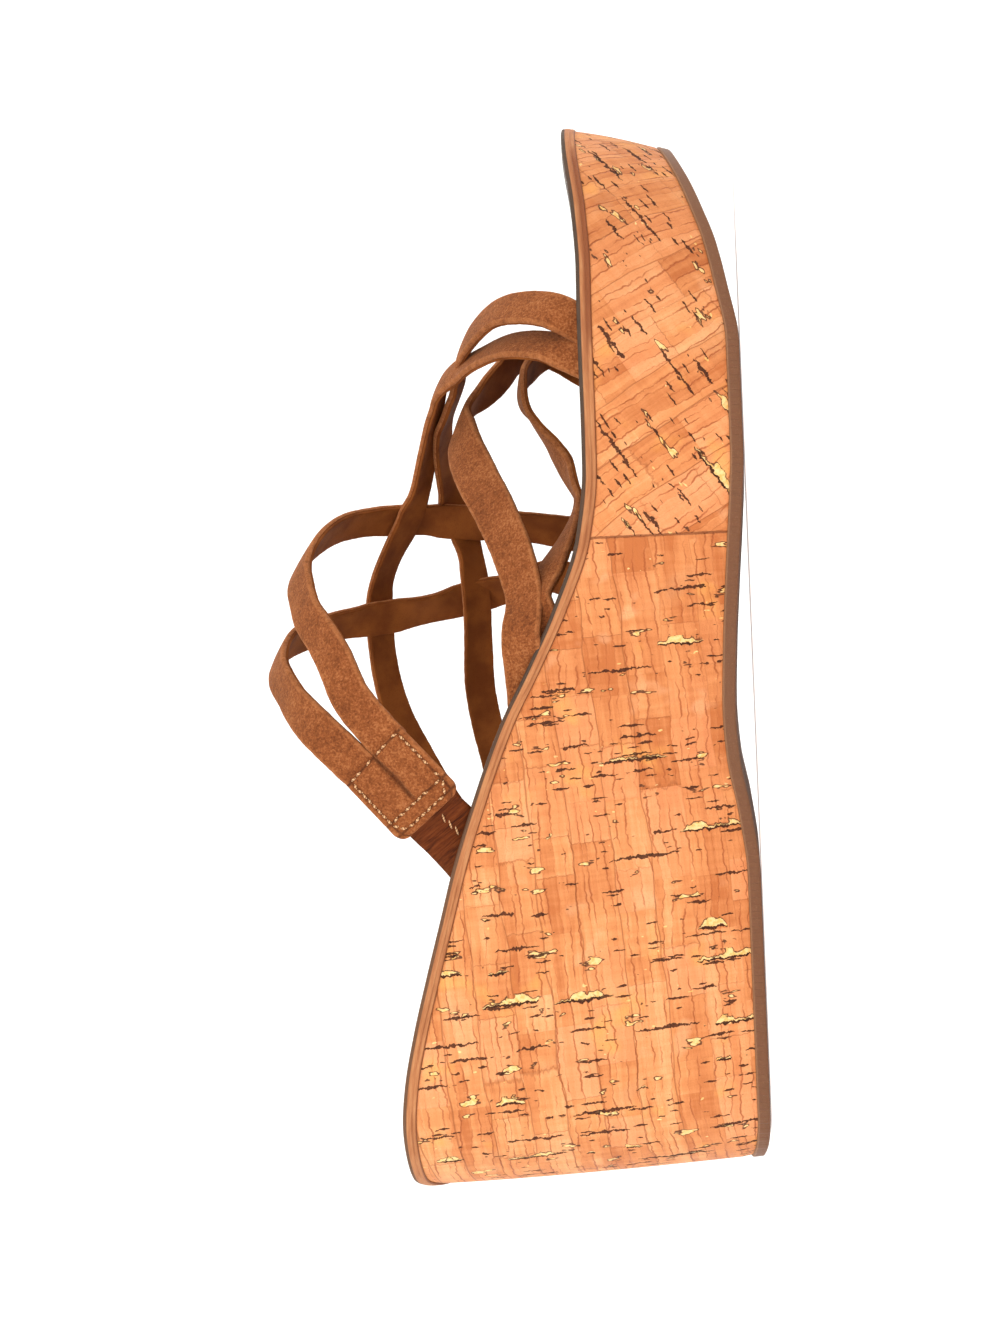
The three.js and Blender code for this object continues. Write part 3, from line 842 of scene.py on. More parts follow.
def insole_block():
    """The insole as rings: flat below, a wall rounded at both edges, a band inwards from the edge with a
    dent under the stitches, and a face that sinks with the square of the way to its middle."""

    def low(s):
        """Underside of the insole."""
        return below_top(s, INSOLE)

    rows = [(t, low, 0.0, 0.0) for t in (0.0, 0.5, 0.97)]
    first_wall = len(rows) - 1
    for f in np.linspace(0, 1, 12):
        inset = rounded(f * INSOLE, 0.3) + rounded((1 - f) * INSOLE, 0.6)
        rows.append((1.0, between(low, over_top(0.0), f), 0.25 - inset, f))
    last_wall = len(rows)
    for d in (0.5, 0.9, 1.3, 1.7, 2.0, 2.3, 2.6, 3.0, 3.5, 4.2, 5.0):
        dip = 0.25 * math.exp(-(((d - SEAM_INSET) / 0.45) ** 2))
        lift = INSOLE_LIFT * min(1.0, d / 5.0) ** 0.7 - dip
        rows.append((1.0, over_top(lift), -d, 1 + d))
    for t in (0.8, 0.6, 0.4, 0.2, 0.0):
        rows.append((t, over_top(INSOLE_LIFT - 0.45 * (1 - t) ** 2), 0.0, 10.0))
    block = shell_of_sole(rows, INSOLE_COUNT)
    ring = np.arange(len(rows) - 1)
    painted = (ring >= first_wall) & (ring <= last_wall)
    block["slot"] = np.repeat(painted.astype(int), 2 * INSOLE_COUNT)
    return block


def insole_seam():
    """Places, directions and uprights of the stitches round the insole: even steps along the edge, moved
    inwards, and none beside a slot."""
    s, side = rim(900)
    around = perimeter(s, side)
    line = sole_point(s, side, 1 + above_ground(s, -0.1)) - plan_normal(s, side) * SEAM_INSET
    count = int(around[-1] / SEAM_PITCH)
    at = (np.arange(count) + 0.5) * around[-1] / count
    place = read_off(at, around[:-1], line)
    along = unit(read_off(at + 0.5, around[:-1], line) - place)
    roots = np.array([root_point(name, STRAP_WIDTH) for name in ROOTS])
    clear = np.linalg.norm(place[:, None] - roots[None], axis=2).min(axis=1) > SEAM_CLEAR
    clear &= at < around[-1] - 3
    up = square_to(np.tile(UPRIGHT, (count, 1)), along)
    return place[clear], along[clear], up[clear]


# Section of a strap from the middle of its lining round to the middle of its suede: share of the half
# width, offset from it, height as a share of the half thickness, and whether it is suede.
STRAP_SECTION = [
    (0.0, 0.0, -1.0, 0),
    (0.35, 0.0, -1.0, 0),
    (0.7, 0.0, -1.0, 0),
    (1.0, -0.5, -1.0, 0),
    (1.0, -0.24, -0.94, 0),
    (1.0, -0.12, -0.8, 0),
    (1.0, -0.1, -0.42, 0),
    (1.0, -0.2, -0.28, 0),
    (1.0, -0.04, -0.16, 1),
    (1.0, 0.02, 0.1, 1),
    (1.0, 0.0, 0.45, 1),
    (1.0, -0.1, 0.74, 1),
    (1.0, -0.26, 0.92, 1),
    (1.0, -0.55, 1.0, 1),
    (0.75, 0.0, 1.0, 1),
    (0.5, 0.0, 1.0, 1),
    (0.25, 0.0, 1.0, 1),
    (0.0, 0.0, 1.0, 1),
]


def strap_section():
    """The whole section: the half from the table, then its mirror image, as arrays. The two middle points
    are shared, so the loop closes on its first point."""
    half = np.array(STRAP_SECTION)
    mirrored = half[-2:0:-1] * np.array([-1, -1, 1, 1])
    return np.concatenate([half, mirrored])


def carried(path, across, up):
    """A section carried along a path: place, plus side times the distance across, plus face times the
    height."""
    place, side, face = (path[name][:, None] for name in ("place", "side", "face"))
    return place + side * across[..., None] + face * up[..., None]


def ribbon_block(path, width, thick, seed, cup=0.25, ragged=0.1):
    """Strap swept along a path: each section point is the path's place plus side times its distance across
    plus face times its height. The cut edges waver and the middle stands a little proud."""
    section = strap_section()
    share, offset, high, suede = section.T
    half = path["wide"][:, None] * width / 2
    edge = np.where(np.abs(share) == 1, 1.0, 0.0)
    sides = np.sign(share)
    waves = (2.3, 3.7, 6.1, 13.0)
    waver = np.stack([wobble(path["run"], seed + k, waves, ragged) for k in (0, 1)], axis=-1)
    waver = np.where(sides > 0, waver[:, :1], waver[:, 1:]) * edge
    across = share * half + offset + sides * waver
    swell = cup * (1 - (across / half) ** 2) - 0.1 * cup
    up = high * thick / 2 + swell
    points = carried(path, across, up)
    v = np.concatenate([share, share[:1]])
    uv = np.stack(np.broadcast_arrays(path["run"][:, None], v[None, :]), axis=-1)
    slots = 1 - (suede * np.roll(suede, -1)).astype(int)
    return grid_block(points, uv, wrap=True, slots=slots, caps=True)


# Materials


def srgb(text):
    """Linear colour from a hexadecimal one, by the usual curve with its straight foot."""
    values = [int(text[i : i + 2], 16) / 255 for i in (0, 2, 4)]
    return tuple(v / 12.92 if v <= 0.04045 else ((v + 0.055) / 1.055) ** 2.4 for v in values) + (1.0,)


def opaque(color):
    """A property's colour as a socket takes it."""
    return tuple(color) + (1.0,)


class Graph:
    """A material's nodes, written as calls that each add one node and give its output."""

    def __init__(self, name):
        self.material = bpy.data.materials.new(name)
        self.material.use_nodes = True
        self.tree = self.material.node_tree
        self.shader = self.tree.nodes["Principled BSDF"]

    def add(self, kind, values, out=0, **settings):
        """Adds a node, sets its settings, and links or sets each input by its number."""
        node = self.tree.nodes.new(kind)
        for key, value in settings.items():
            setattr(node, key, value)
        for key, value in values.items():
            self.put(node.inputs[key], value)
        return node.outputs[out]

    def put(self, socket, value):
        """Links a socket to an output, or sets it to a constant."""
        if isinstance(value, bpy.types.NodeSocket):
            self.tree.links.new(value, socket)
        else:
            socket.default_value = value

    def math(self, operation, a, b=0.0, c=0.0):
        """One sum, product or other operation on up to three values."""
        return self.add("ShaderNodeMath", {0: a, 1: b, 2: c}, operation=operation)

    def sum(self, *values):
        """All values added up."""
        total = values[0]
        for value in values[1:]:
            total = self.math("ADD", total, value)
        return total

    def times(self, a, b):
        """The product of two values."""
        return self.math("MULTIPLY", a, b)

    def less(self, a, b):
        """The first value less the second."""
        return self.math("SUBTRACT", a, b)

    def join(self, x=0.0, y=0.0, z=0.0):
        """A vector from its three values."""
        return self.add("ShaderNodeCombineXYZ", {0: x, 1: y, 2: z})

    def split(self, vector):
        """The three values of a vector."""
        node = self.tree.nodes.new("ShaderNodeSeparateXYZ")
        self.tree.links.new(vector, node.inputs[0])
        return node.outputs

    def noise(self, vector, scale, detail=3.0, rough=0.5, twist=0.0):
        """Smooth random value from 0 to 1, with its middle near a half."""
        return self.add(
            "ShaderNodeTexNoise",
            {"Vector": vector, "Scale": scale, "Detail": detail, "Roughness": rough, "Distortion": twist},
        )

    def stretched(self, p, along, q, across, third, *settings):
        """Noise that is stretched by different scales along and across."""
        return self.noise(self.join(self.times(p, along), self.times(q, across), third), 1.0, *settings)

    def chance(self, vector):
        """Even random value for each whole-numbered cell."""
        return self.add("ShaderNodeTexWhiteNoise", {0: vector}, noise_dimensions="3D")

    def fit(self, value, low, high, to_low=0.0, to_high=1.0):
        """Smooth step of a value between two limits."""
        return self.add(
            "ShaderNodeMapRange",
            {0: value, 1: low, 2: high, 3: to_low, 4: to_high},
            interpolation_type="SMOOTHSTEP",
            clamp=True,
        )

    def mix(self, share, a, b, blend="MIX"):
        """The first colour with a share of the second."""
        values = {0: share, 6: a, 7: b}
        return self.add("ShaderNodeMix", values, out=2, data_type="RGBA", blend_type=blend)

    def tint(self, color, value, low, high, most, text):
        """A colour with another one mixed in as a value rises between two limits, up to the share given."""
        return self.mix(self.times(self.fit(value, low, high), most), color, srgb(text))

    def ramp(self, value, stops):
        """Colour between the stops, which are pairs of a value and its colour."""
        node = self.tree.nodes.new("ShaderNodeValToRGB")
        elements = node.color_ramp.elements
        while len(elements) < len(stops):
            elements.new(0.5)
        for element, (place, color) in zip(elements, stops):
            element.position = place
            element.color = color
        self.put(node.inputs[0], value)
        return node.outputs[0]

    def bump(self, height, distance, strength=1.0):
        """Normal of a surface raised by height times a distance in metres."""
        return self.add("ShaderNodeBump", {"Strength": strength, "Distance": distance, "Height": height})

    def surface(self, color, rough, normal=None, **constants):
        """Links the finish to the shader. Constants are set on its own sockets, named with underscores."""
        self.put(self.shader.inputs["Base Color"], color)
        self.put(self.shader.inputs["Roughness"], rough)
        if normal is not None:
            self.put(self.shader.inputs["Normal"], normal)
        for key, value in constants.items():
            self.shader.inputs[key.replace("_", " ")].default_value = value
        return self.material

    def uv(self):
        """The piece's own map: millimetres along and up, or the share across a strap."""
        return self.add("ShaderNodeUVMap", {}, uv_map="surface")

    def object_mm(self):
        """Object coordinates in millimetres."""
        place = self.add("ShaderNodeTexCoord", {}, out=3)
        return self.add("ShaderNodeVectorMath", {0: place, 3: 1000.0}, operation="SCALE")


def crack_layer(g, p, q, wide, pitch, seed, likely, thick, jag):
    """Mask of short cracks across the grain: lanes of the given width are cut into cells of the given
    pitch, and each cell holds one crack at a random place and of a random reach. Its half thickness tapers
    to both ends, is beaded by noise, and is nothing in cells whose random value is over the likelihood. Also
    gives the distance from the crack, the taper and the cell's own random value."""
    lane = g.sum(g.math("DIVIDE", q, wide), 0.37 * seed)
    strip = g.math("FLOOR", lane)
    place = g.sum(g.math("DIVIDE", p, pitch), g.times(g.chance(g.join(strip, seed, 1.0)), 9.0))
    cell = g.math("FLOOR", place)
    luck = g.chance(g.join(strip, cell, seed))
    shift = g.chance(g.join(strip, cell, seed + 0.5))
    reach = g.chance(g.join(strip, cell, seed + 1.5))
    waver = g.less(g.noise(g.join(g.times(p, 0.25), q, seed), 0.6, 3.0, 0.68), 0.5)
    off_line = g.less(g.math("FRACT", place), g.sum(g.times(shift, 0.5), 0.25))
    signed = g.sum(g.times(off_line, pitch), g.times(waver, jag))
    half = g.sum(g.times(reach, 0.36), 0.14)
    middle = g.sum(0.5, g.times(g.less(shift, 0.5), g.less(0.9, g.times(half, 1.8))))
    off = g.math("ABSOLUTE", g.less(g.math("FRACT", lane), middle))
    taper = g.math("SQRT", g.math("MAXIMUM", g.less(1.0, g.math("DIVIDE", off, half)), 0.0))
    beads = g.fit(g.noise(g.join(g.times(p, 0.2), q, seed + 7.0), 0.95, 2.0, 0.6), 0.36, 0.66, 0.3, 1.0)
    spare = g.less(likely, luck)
    width = g.times(g.times(taper, beads), g.times(g.fit(spare, 0.0, 0.05), thick))
    inside = g.fit(g.less(width, g.math("ABSOLUTE", signed)), -0.05, 0.05)
    mask = g.times(inside, g.fit(width, 0.01, 0.06))
    return mask, signed, g.times(taper, g.fit(spare, 0.0, 0.05)), shift


def cork_material(sole):
    """Cork veneer. The wall's map is turned so that strips lie along one axis; each strip is cut into cells
    of random length and tone. Cracks of three sizes run across the grain, in clusters, with pale lenses
    beside some; wavy dark lines and streaks follow the grain. Behind the cross seam the strips lie along
    the shoe, ahead of it they slant down to the toe."""
    g = Graph("cork_veneer")
    u, v, _ = g.split(g.uv())
    x, _, _ = g.split(g.object_mm())
    seam_at = sole.seam_place / MM
    fore = g.math("GREATER_THAN", x, seam_at)
    behind = g.less(1.0, fore)

    def turned(degrees):
        """The wall's map turned by an angle: along the strips and across them."""
        c, s = math.cos(math.radians(degrees)), math.sin(math.radians(degrees))
        return g.sum(g.times(u, c), g.times(v, s)), g.less(g.times(v, c), g.times(u, s))

    def either(heel, toe):
        """The first value behind the seam, the second ahead of it."""
        return g.sum(g.times(behind, heel), g.times(fore, toe))

    (p_heel, q_heel), (p_fore, q_fore) = turned(4.0), turned(-55.0)
    p, q = either(p_heel, g.sum(p_fore, 300.0)), either(q_heel, g.sum(q_fore, 400.0))
    wide = either(sole.strip_width / MM, sole.toe_strip_width / MM)
    flat = g.join(p, q)
    cloud = g.noise(flat, 0.05, 3.0, 0.6)
    patch = g.noise(g.join(p, q, 30.0), 0.085, 2.0, 0.55)
    shake = g.noise(flat, 0.9, 3.0, 0.65)
    fine = g.noise(flat, 2.6, 3.0, 0.7)

    # Strips and cells
    drift = g.stretched(p, 0.05, q, 0.03, 0.0, 2.0)
    lane = g.math("DIVIDE", g.sum(q, g.times(g.less(drift, 0.5), 4.0)), wide)
    strip = g.math("FLOOR", lane)
    within = g.math("FRACT", lane)
    own = g.chance(g.join(strip, 3.0, fore))
    stretch = g.stretched(p, 0.05, strip, 7.3, 0.0, 1.0)
    place = g.math("DIVIDE", g.sum(p, g.times(own, 40.0), g.times(stretch, 26.0)), 13.0)
    tone = g.chance(g.join(strip, g.math("FLOOR", place), fore))
    luck = g.chance(g.join(strip, g.math("ROUND", place), 5.0))
    waver = g.times(g.less(g.noise(g.join(g.times(p, 0.2), q, 4.0), 0.55, 3.0, 0.7), 0.5), 2.0)
    signed = g.sum(g.times(g.less(place, g.math("ROUND", place)), 13.0), waver)
    butt = g.times(g.fit(g.math("ABSOLUTE", signed), 0.25, 0.03), g.fit(luck, 0.3, 0.7, 0.1, 0.6))
    border = g.times(g.math("MINIMUM", within, g.less(1.0, within)), wide)
    joint = g.times(g.fit(border, 0.3, 0.03), g.fit(own, 0.1, 0.9, 0.2, 0.9))

    # Cracks: long ones, middle ones in clusters, and short fine ones in clusters
    dense = g.fit(patch, 0.4, 0.62)
    long_likely = g.sum(0.24, g.times(dense, 0.46))
    long_lane = g.times(wide, 1.9)
    long_cracks, beside, taper, own_luck = crack_layer(g, p, q, long_lane, 8.0, 1.0, long_likely, 0.6, 2.2)
    middle_likely = g.sum(0.03, g.times(dense, 0.44))
    middle_lane = g.times(wide, 1.1)
    middle_cracks = crack_layer(g, p, q, middle_lane, 3.6, 2.0, middle_likely, 0.45, 1.6)[0]
    short_likely = g.sum(0.02, g.times(dense, 0.34))
    short_cracks = crack_layer(g, p, q, 4.2, 2.2, 3.0, short_likely, 0.36, 1.0)[0]
    crack = g.math("MAXIMUM", long_cracks, g.math("MAXIMUM", middle_cracks, short_cracks))
    slow = g.noise(g.join(p, q, 70.0), 0.28, 1.0)
    lens_half = g.times(g.times(taper, g.fit(own_luck, 0.68, 0.84)), g.fit(slow, 0.35, 0.65, 0.4, 1.35))
    lens_field = g.less(lens_half, g.math("ABSOLUTE", g.less(beside, lens_half)))
    lens = g.fit(lens_field, 0.0, 0.12)
    outline = g.fit(fine, 0.4, 0.6, 0.12, 0.36)
    lens_line = g.times(g.fit(g.math("ABSOLUTE", lens_field), outline, 0.04), g.fit(lens_half, 0.08, 0.3))
    fleck = g.fit(g.stretched(p, 0.5, q, 0.2, 8.0, 3.0, 0.65), 0.71, 0.74)

    # Pale lenses with a thin dark outline, long across the grain
    pale_field = g.stretched(p, 0.26, q, 0.1, 21.0, 3.0, 0.6)
    pale = g.math("MAXIMUM", g.fit(pale_field, 0.66, 0.675), lens)
    pale_edge = g.fit(g.math("ABSOLUTE", g.less(pale_field, 0.655)), 0.018, 0.006)
    pale_line = g.math("MAXIMUM", pale_edge, lens_line)
    small_field = g.stretched(p, 0.6, q, 0.3, 51.0, 2.0, 0.55)
    small = g.times(g.fit(small_field, 0.7, 0.72), g.fit(dense, 0.2, 0.6))

    # Grain: wavy lines where a stretched noise crosses whole values, and streaks of two widths
    wave = g.times(g.stretched(p, 0.3, q, 0.12, 33.0, 3.0, 0.6), 2.2)
    bend = g.times(g.stretched(p, 0.03, q, 0.05, 12.0, 1.0), 6.0)
    grain = g.math("DIVIDE", g.sum(q, wave, bend), 2.1)
    jitter = g.times(g.chance(g.join(g.math("FLOOR", grain), 2.0, fore)), 0.5)
    aside = g.times(g.math("ABSOLUTE", g.less(g.math("FRACT", grain), g.sum(jitter, 0.25))), 2.1)
    strong = g.fit(g.stretched(p, 0.09, q, 0.45, 60.0, 2.0), 0.4, 0.62)
    thread = g.times(g.fit(aside, g.sum(0.12, g.times(strong, 0.2)), 0.0), g.sum(0.2, g.times(strong, 0.8)))
    streak = g.stretched(p, 0.03, q, 0.9, g.times(tone, 9.0), 3.0, 0.6)
    broad = g.stretched(p, 0.025, q, 0.22, 14.0, 2.0)
    cross = g.stretched(p, 0.7, q, 0.09, g.times(strip, 1.7), 2.0)

    ring_tone = g.chance(g.join(g.math("FLOOR", g.sum(grain, g.less(0.5, jitter), 0.25)), strip, fore))
    light, middle, deep = map(opaque, (sole.cork_light, sole.cork_middle, sole.cork_deep))
    share = g.sum(
        g.times(tone, 0.26),
        g.times(ring_tone, 0.2),
        g.times(streak, 0.45),
        g.times(broad, 0.35),
        g.times(cross, 0.3),
        g.times(cloud, 0.45),
        -0.54,
    )
    waist = g.times(g.fit(x, 15.0, 60.0), g.fit(x, 130.0, 95.0))
    share = g.less(share, g.times(waist, 0.13))
    color = g.ramp(share, [(0.16, deep), (0.46, middle), (0.8, light)])
    color = g.tint(color, tone, 0.6, 0.95, 0.4, "DB8A5C")
    color = g.tint(color, cloud, 0.58, 0.75, 0.4, "C29068")
    color = g.tint(color, patch, 0.6, 0.74, 0.45, "EBA551")
    color = g.tint(color, patch, 0.36, 0.26, 0.3, "EDB98C")
    color = g.mix(g.times(thread, 0.85), color, srgb("994A20"))
    color = g.tint(color, fine, 0.5, 0.72, 0.38, "B0662F")
    color = g.mix(g.times(g.math("MAXIMUM", joint, butt), 0.7), color, srgb("8F4B22"))
    pale_color = g.mix(g.fit(shake, 0.35, 0.6), srgb("E9B461"), srgb("F6D494"))
    color = g.mix(g.times(g.math("MAXIMUM", pale, small), 0.85), color, pale_color)
    dark = g.mix(g.fit(shake, 0.3, 0.7), srgb("240B04"), srgb("4E210C"))
    color = g.mix(g.times(pale_line, 0.85), color, dark)
    color = g.mix(g.times(g.math("MAXIMUM", crack, fleck), 0.93), color, dark)

    seam_off = g.math("ABSOLUTE", g.less(g.sum(x, g.times(g.less(shake, 0.5), 0.5)), seam_at))
    seam = g.fit(seam_off, 0.36, 0.1)
    color = g.mix(g.times(seam, 0.7), color, srgb("6B3417"))
    color = g.mix(g.times(g.fit(v, sole.edge_dull / MM, 0.0), 0.35), color, srgb("A86C45"))
    color = g.mix(g.fit(x, seam_at + 10.0, seam_at + 90.0, 0.0, 0.75), color, srgb("E0D8CE"), "MULTIPLY")

    height = g.sum(
        g.times(g.math("MAXIMUM", crack, fleck), -1.0),
        g.times(pale_line, -0.5),
        g.times(g.math("MAXIMUM", joint, butt), -0.4),
        g.times(seam, -0.8),
        g.times(streak, 0.4),
        g.times(thread, -0.3),
        g.times(fine, 0.3),
    )
    rough = g.fit(g.sum(streak, g.times(crack, 0.6)), 0.2, 1.2, 0.5, 0.8)
    return g.surface(color, rough, g.bump(height, 0.00028), Specular_IOR_Level=0.25)


def suede_material(straps, name="brushed_suede", sewn=False):
    """Brushed suede: three tones mixed by noises of four sizes, paler edges from the map's cross value, a
    short nap as bump, and a soft sheen. Where it is sewn, painted shade darkens the rows where the needle
    pierced the suede and the slit between the two straps."""
    g = Graph(name)
    place = g.object_mm()
    run, across, _ = g.split(g.uv())
    broad = g.noise(place, 0.09, 3.0, 0.55)
    middle = g.noise(place, 0.55, 4.0, 0.65, 0.4)
    nap = g.noise(place, 2.3, 5.0, 0.75)
    grit = g.noise(place, 1.9, 2.0, 0.7)
    share = g.sum(g.times(broad, 0.4), g.times(middle, 0.5), g.times(nap, 0.6), g.times(grit, 0.9), -0.73)
    shade, main, light = map(opaque, (straps.suede_dark, straps.suede, straps.suede_light))
    color = g.ramp(share, [(0.22, shade), (0.5, main), (0.8, light)])
    edge = g.fit(g.math("ABSOLUTE", across), 0.86, 1.0)
    color = g.mix(g.times(edge, g.fit(middle, 0.3, 0.7, 0.15, 0.55)), color, light)
    if sewn:
        half = STRAP_WIDTH - PAIR_JOIN / 2
        aside = g.times(g.math("ABSOLUTE", across), half)
        near = g.math("ABSOLUTE", g.less(run, ROW_TOP))
        for value, row in (
            (run, TAB_LENGTH - ROW_LOW),
            (run, TAB_LENGTH - ROW_END),
            (aside, half - ROW_INSET),
        ):
            near = g.math("MINIMUM", near, g.math("ABSOLUTE", g.less(value, row)))
        # Painted shade: the needle-pierced rows and the slit between the two straps are darkened as if in
        # shadow
        hole_shade = g.times(g.fit(near, 0.5, 0.1), g.fit(grit, 0.35, 0.6, 0.25, 0.85))
        slit = g.times(g.fit(aside, 0.8, 0.15), g.fit(run, 0.8 * TAB_LENGTH, 0.6 * TAB_LENGTH))
        color = g.mix(g.math("MAXIMUM", hole_shade, g.times(slit, 0.6)), color, srgb("3E1B09"))
    height = g.sum(g.times(nap, 0.6), g.times(middle, 0.4), g.times(grit, 0.7))
    rough = g.fit(nap, 0.2, 0.8, 0.82, 1.0)
    return g.surface(
        color,
        rough,
        g.bump(height, 0.00032, 0.9),
        Specular_IOR_Level=0.18,
        Sheen_Weight=0.22,
        Sheen_Roughness=0.55,
        Sheen_Tint=srgb("E0A878"),
    )


def lining_material(straps):
    """Smooth lining leather: an even dark brown with soft clouds and fine pores, slightly glossy."""
    g = Graph("strap_lining")
    place = g.object_mm()
    cloud = g.noise(place, 0.12, 3.0, 0.5)
    pore = g.noise(place, 3.2, 3.0, 0.6)
    color = g.mix(g.fit(cloud, 0.3, 0.7), opaque(straps.lining), srgb("854A20"))
    color = g.tint(color, pore, 0.5, 0.75, 0.25, "3A1B0B")
    height = g.sum(g.times(pore, 0.6), g.times(cloud, 0.3))
    rough = g.fit(pore, 0.3, 0.7, 0.75, 0.9)
    return g.surface(color, rough, g.bump(height, 0.00008), Specular_IOR_Level=0.08)


def rim_material(sole):
    """Tan leather band round the sole: grain stretched along the band, a stained groove line near its middle,
    darker towards both edges, and dark stains in places."""
    g = Graph("tan_rim")
    u, v, _ = g.split(g.uv())
    share = g.math("DIVIDE", v, RIM_HEIGHT)
    grain = g.stretched(u, 0.12, v, 1.3, 0.0, 4.0, 0.6)
    stain = g.stretched(u, 0.035, v, 0.35, 4.0, 3.0, 0.6)
    fine = g.noise(g.join(u, v), 2.2, 3.0, 0.7)
    x, _, _ = g.split(g.object_mm())
    color = g.ramp(grain, [(0.2, srgb("94552F")), (0.5, srgb("AE7044")), (0.8, srgb("C08A5C"))])
    wave = g.sum(share, g.times(g.less(fine, 0.5), 0.1), g.times(g.less(stain, 0.5), 0.22))
    groove = g.fit(g.math("ABSOLUTE", g.less(wave, 0.42)), 0.1, 0.02)
    line = g.times(groove, g.fit(stain, 0.35, 0.6, 0.15, 1.0))
    color = g.mix(g.times(line, 0.55), color, srgb("8A4E28"))
    toe = g.times(g.fit(x, 120.0, 158.0), g.fit(x, 200.0, 188.0))
    dark = g.times(g.fit(g.sum(stain, g.times(toe, 0.16)), 0.46, 0.62), g.sum(0.35, g.times(toe, 0.55)))
    color = g.mix(g.times(dark, g.fit(share, 0.95, 0.35)), color, srgb("7A3E1A"))
    color = g.tint(color, share, 0.86, 0.98, 0.6, "6A4630")
    color = g.tint(color, share, 0.14, 0.04, 0.75, "6B3A1C")
    height = g.sum(g.times(line, -0.4), g.times(grain, 0.3), g.times(fine, 0.3))
    rough = g.fit(fine, 0.3, 0.7, 0.5, 0.7)
    return g.surface(color, rough, g.bump(height, 0.0002), Specular_IOR_Level=0.3)


def outsole_material(sole):
    """Moulded brown sole: nearly even, with faint clouds, a painted highlight along the wall's upper edge and
    a fine grit.
    """
    g = Graph("moulded_sole")
    place = g.object_mm()
    _, v, _ = g.split(g.uv())
    cloud = g.noise(place, 0.05, 3.0, 0.5)
    grit = g.noise(place, 2.8, 3.0, 0.65)
    color = g.mix(g.times(g.fit(cloud, 0.35, 0.7), 0.5), opaque(sole.outsole_color), srgb("6F4A30"))
    color = g.tint(color, grit, 0.55, 0.75, 0.25, "A27A58")
    # Painted highlight: the upper edge of the wall is made lighter as if it caught the light
    edge = g.fit(v, OUTSOLE - 0.45, OUTSOLE - 0.05)
    color = g.mix(g.times(edge, 0.35), color, srgb("B08560"))
    wear = g.fit(g.noise(place, 0.3, 4.0, 0.6), 0.6, 0.72)
    color = g.mix(g.times(wear, 0.2), color, srgb("5C3D28"))
    x, y, z = g.split(place)
    under = g.fit(z, 6.0, 1.5)
    rib = g.math("SINE", g.sum(g.times(x, 2.0), g.times(g.math("SINE", g.times(y, 0.45)), 1.6)))
    height = g.sum(g.times(grit, 0.3), g.times(g.times(g.fit(rib, -0.3, 0.3), under), 0.5))
    return g.surface(color, 0.55, g.bump(height, 0.0002), Specular_IOR_Level=0.35)


def footbed_material(sole):
    """Footbed leather: dark brown clouds over a pebbled grain of soft cells, with paler pores."""
    g = Graph("footbed_leather")
    place = g.object_mm()
    cells = g.tree.nodes.new("ShaderNodeTexVoronoi")
    g.put(cells.inputs["Vector"], place)
    cells.inputs["Scale"].default_value = 0.9
    pebble = cells.outputs["Distance"]
    cloud = g.noise(place, 0.03, 4.0, 0.55)
    pore = g.noise(place, 1.6, 4.0, 0.65)
    color = g.mix(g.fit(cloud, 0.35, 0.7), opaque(sole.footbed_color), srgb("6A4836"))
    color = g.tint(color, pebble, 0.35, 0.7, 0.3, "2E1C14")
    color = g.tint(color, pore, 0.55, 0.75, 0.3, "7C5A45")
    height = g.sum(g.times(pebble, -0.7), g.times(pore, 0.6))
    rough = g.fit(cloud, 0.3, 0.7, 0.5, 0.68)
    return g.surface(color, rough, g.bump(height, 0.00016), Specular_IOR_Level=0.35)


def edge_paint_material():
    """Painted edge of the insole: dark grey brown, a little uneven and satin."""
    g = Graph("insole_edge")
    place = g.object_mm()
    uneven = g.noise(place, 0.7, 4.0, 0.6)
    cloud = g.noise(place, 0.06, 2.0)
    x, _, _ = g.split(place)
    color = g.mix(uneven, srgb("35271E"), srgb("574436"))
    color = g.tint(color, cloud, 0.4, 0.7, 0.4, "5A3B26")
    color = g.mix(g.fit(x, 75.0, 20.0, 0.0, 0.55), color, srgb("7A5236"))
    rough = g.fit(uneven, 0.3, 0.7, 0.55, 0.75)
    return g.surface(color, rough, g.bump(uneven, 0.0001), Specular_IOR_Level=0.25)


def smooth_leather_material(straps):
    """Smooth strap leather: dark brown with fine creases across the strap, painted shade in their troughs and
    a painted highlight on their crests, and a satin gloss."""
    g = Graph("ribbed_leather")
    u, v, _ = g.split(g.uv())
    place = g.object_mm()
    crease = g.stretched(u, 1.5, v, 1.1, 0.0, 4.0, 0.62, 0.5)
    fine = g.stretched(u, 5.0, v, 2.2, 3.0, 3.0, 0.6)
    cloud = g.noise(place, 0.14, 3.0)
    # Painted light: the colour follows the creases' height, darker in the troughs and brighter on the crests
    color = g.ramp(crease, [(0.3, srgb("371405")), (0.5, opaque(straps.smooth)), (0.78, srgb("7A3B16"))])
    color = g.tint(color, fine, 0.5, 0.75, 0.35, "2F1307")
    color = g.tint(color, cloud, 0.45, 0.75, 0.35, "86481F")
    height = g.sum(g.times(crease, 1.0), g.times(fine, 0.35))
    rough = g.fit(crease, 0.3, 0.7, 0.65, 0.45)
    return g.surface(color, rough, g.bump(height, 0.0003), Specular_IOR_Level=0.12)


def thread_material(name, color, shade):
    """Twisted thread: slanting plies as a wave along the stitch, with painted shade between them."""
    g = Graph(name)
    u, v, _ = g.split(g.uv())
    full_turn = 6.283
    ply = g.math("SINE", g.sum(g.times(u, 9.0), g.times(v, full_turn)))
    uneven = g.noise(g.object_mm(), 2.0, 3.0)
    mixed = g.mix(g.fit(ply, -0.9, 0.4), shade, color)
    mixed = g.mix(g.times(uneven, 0.3), mixed, shade)
    return g.surface(mixed, 0.5, g.bump(ply, 0.00006), Specular_IOR_Level=0.45, Sheen_Weight=0.2)


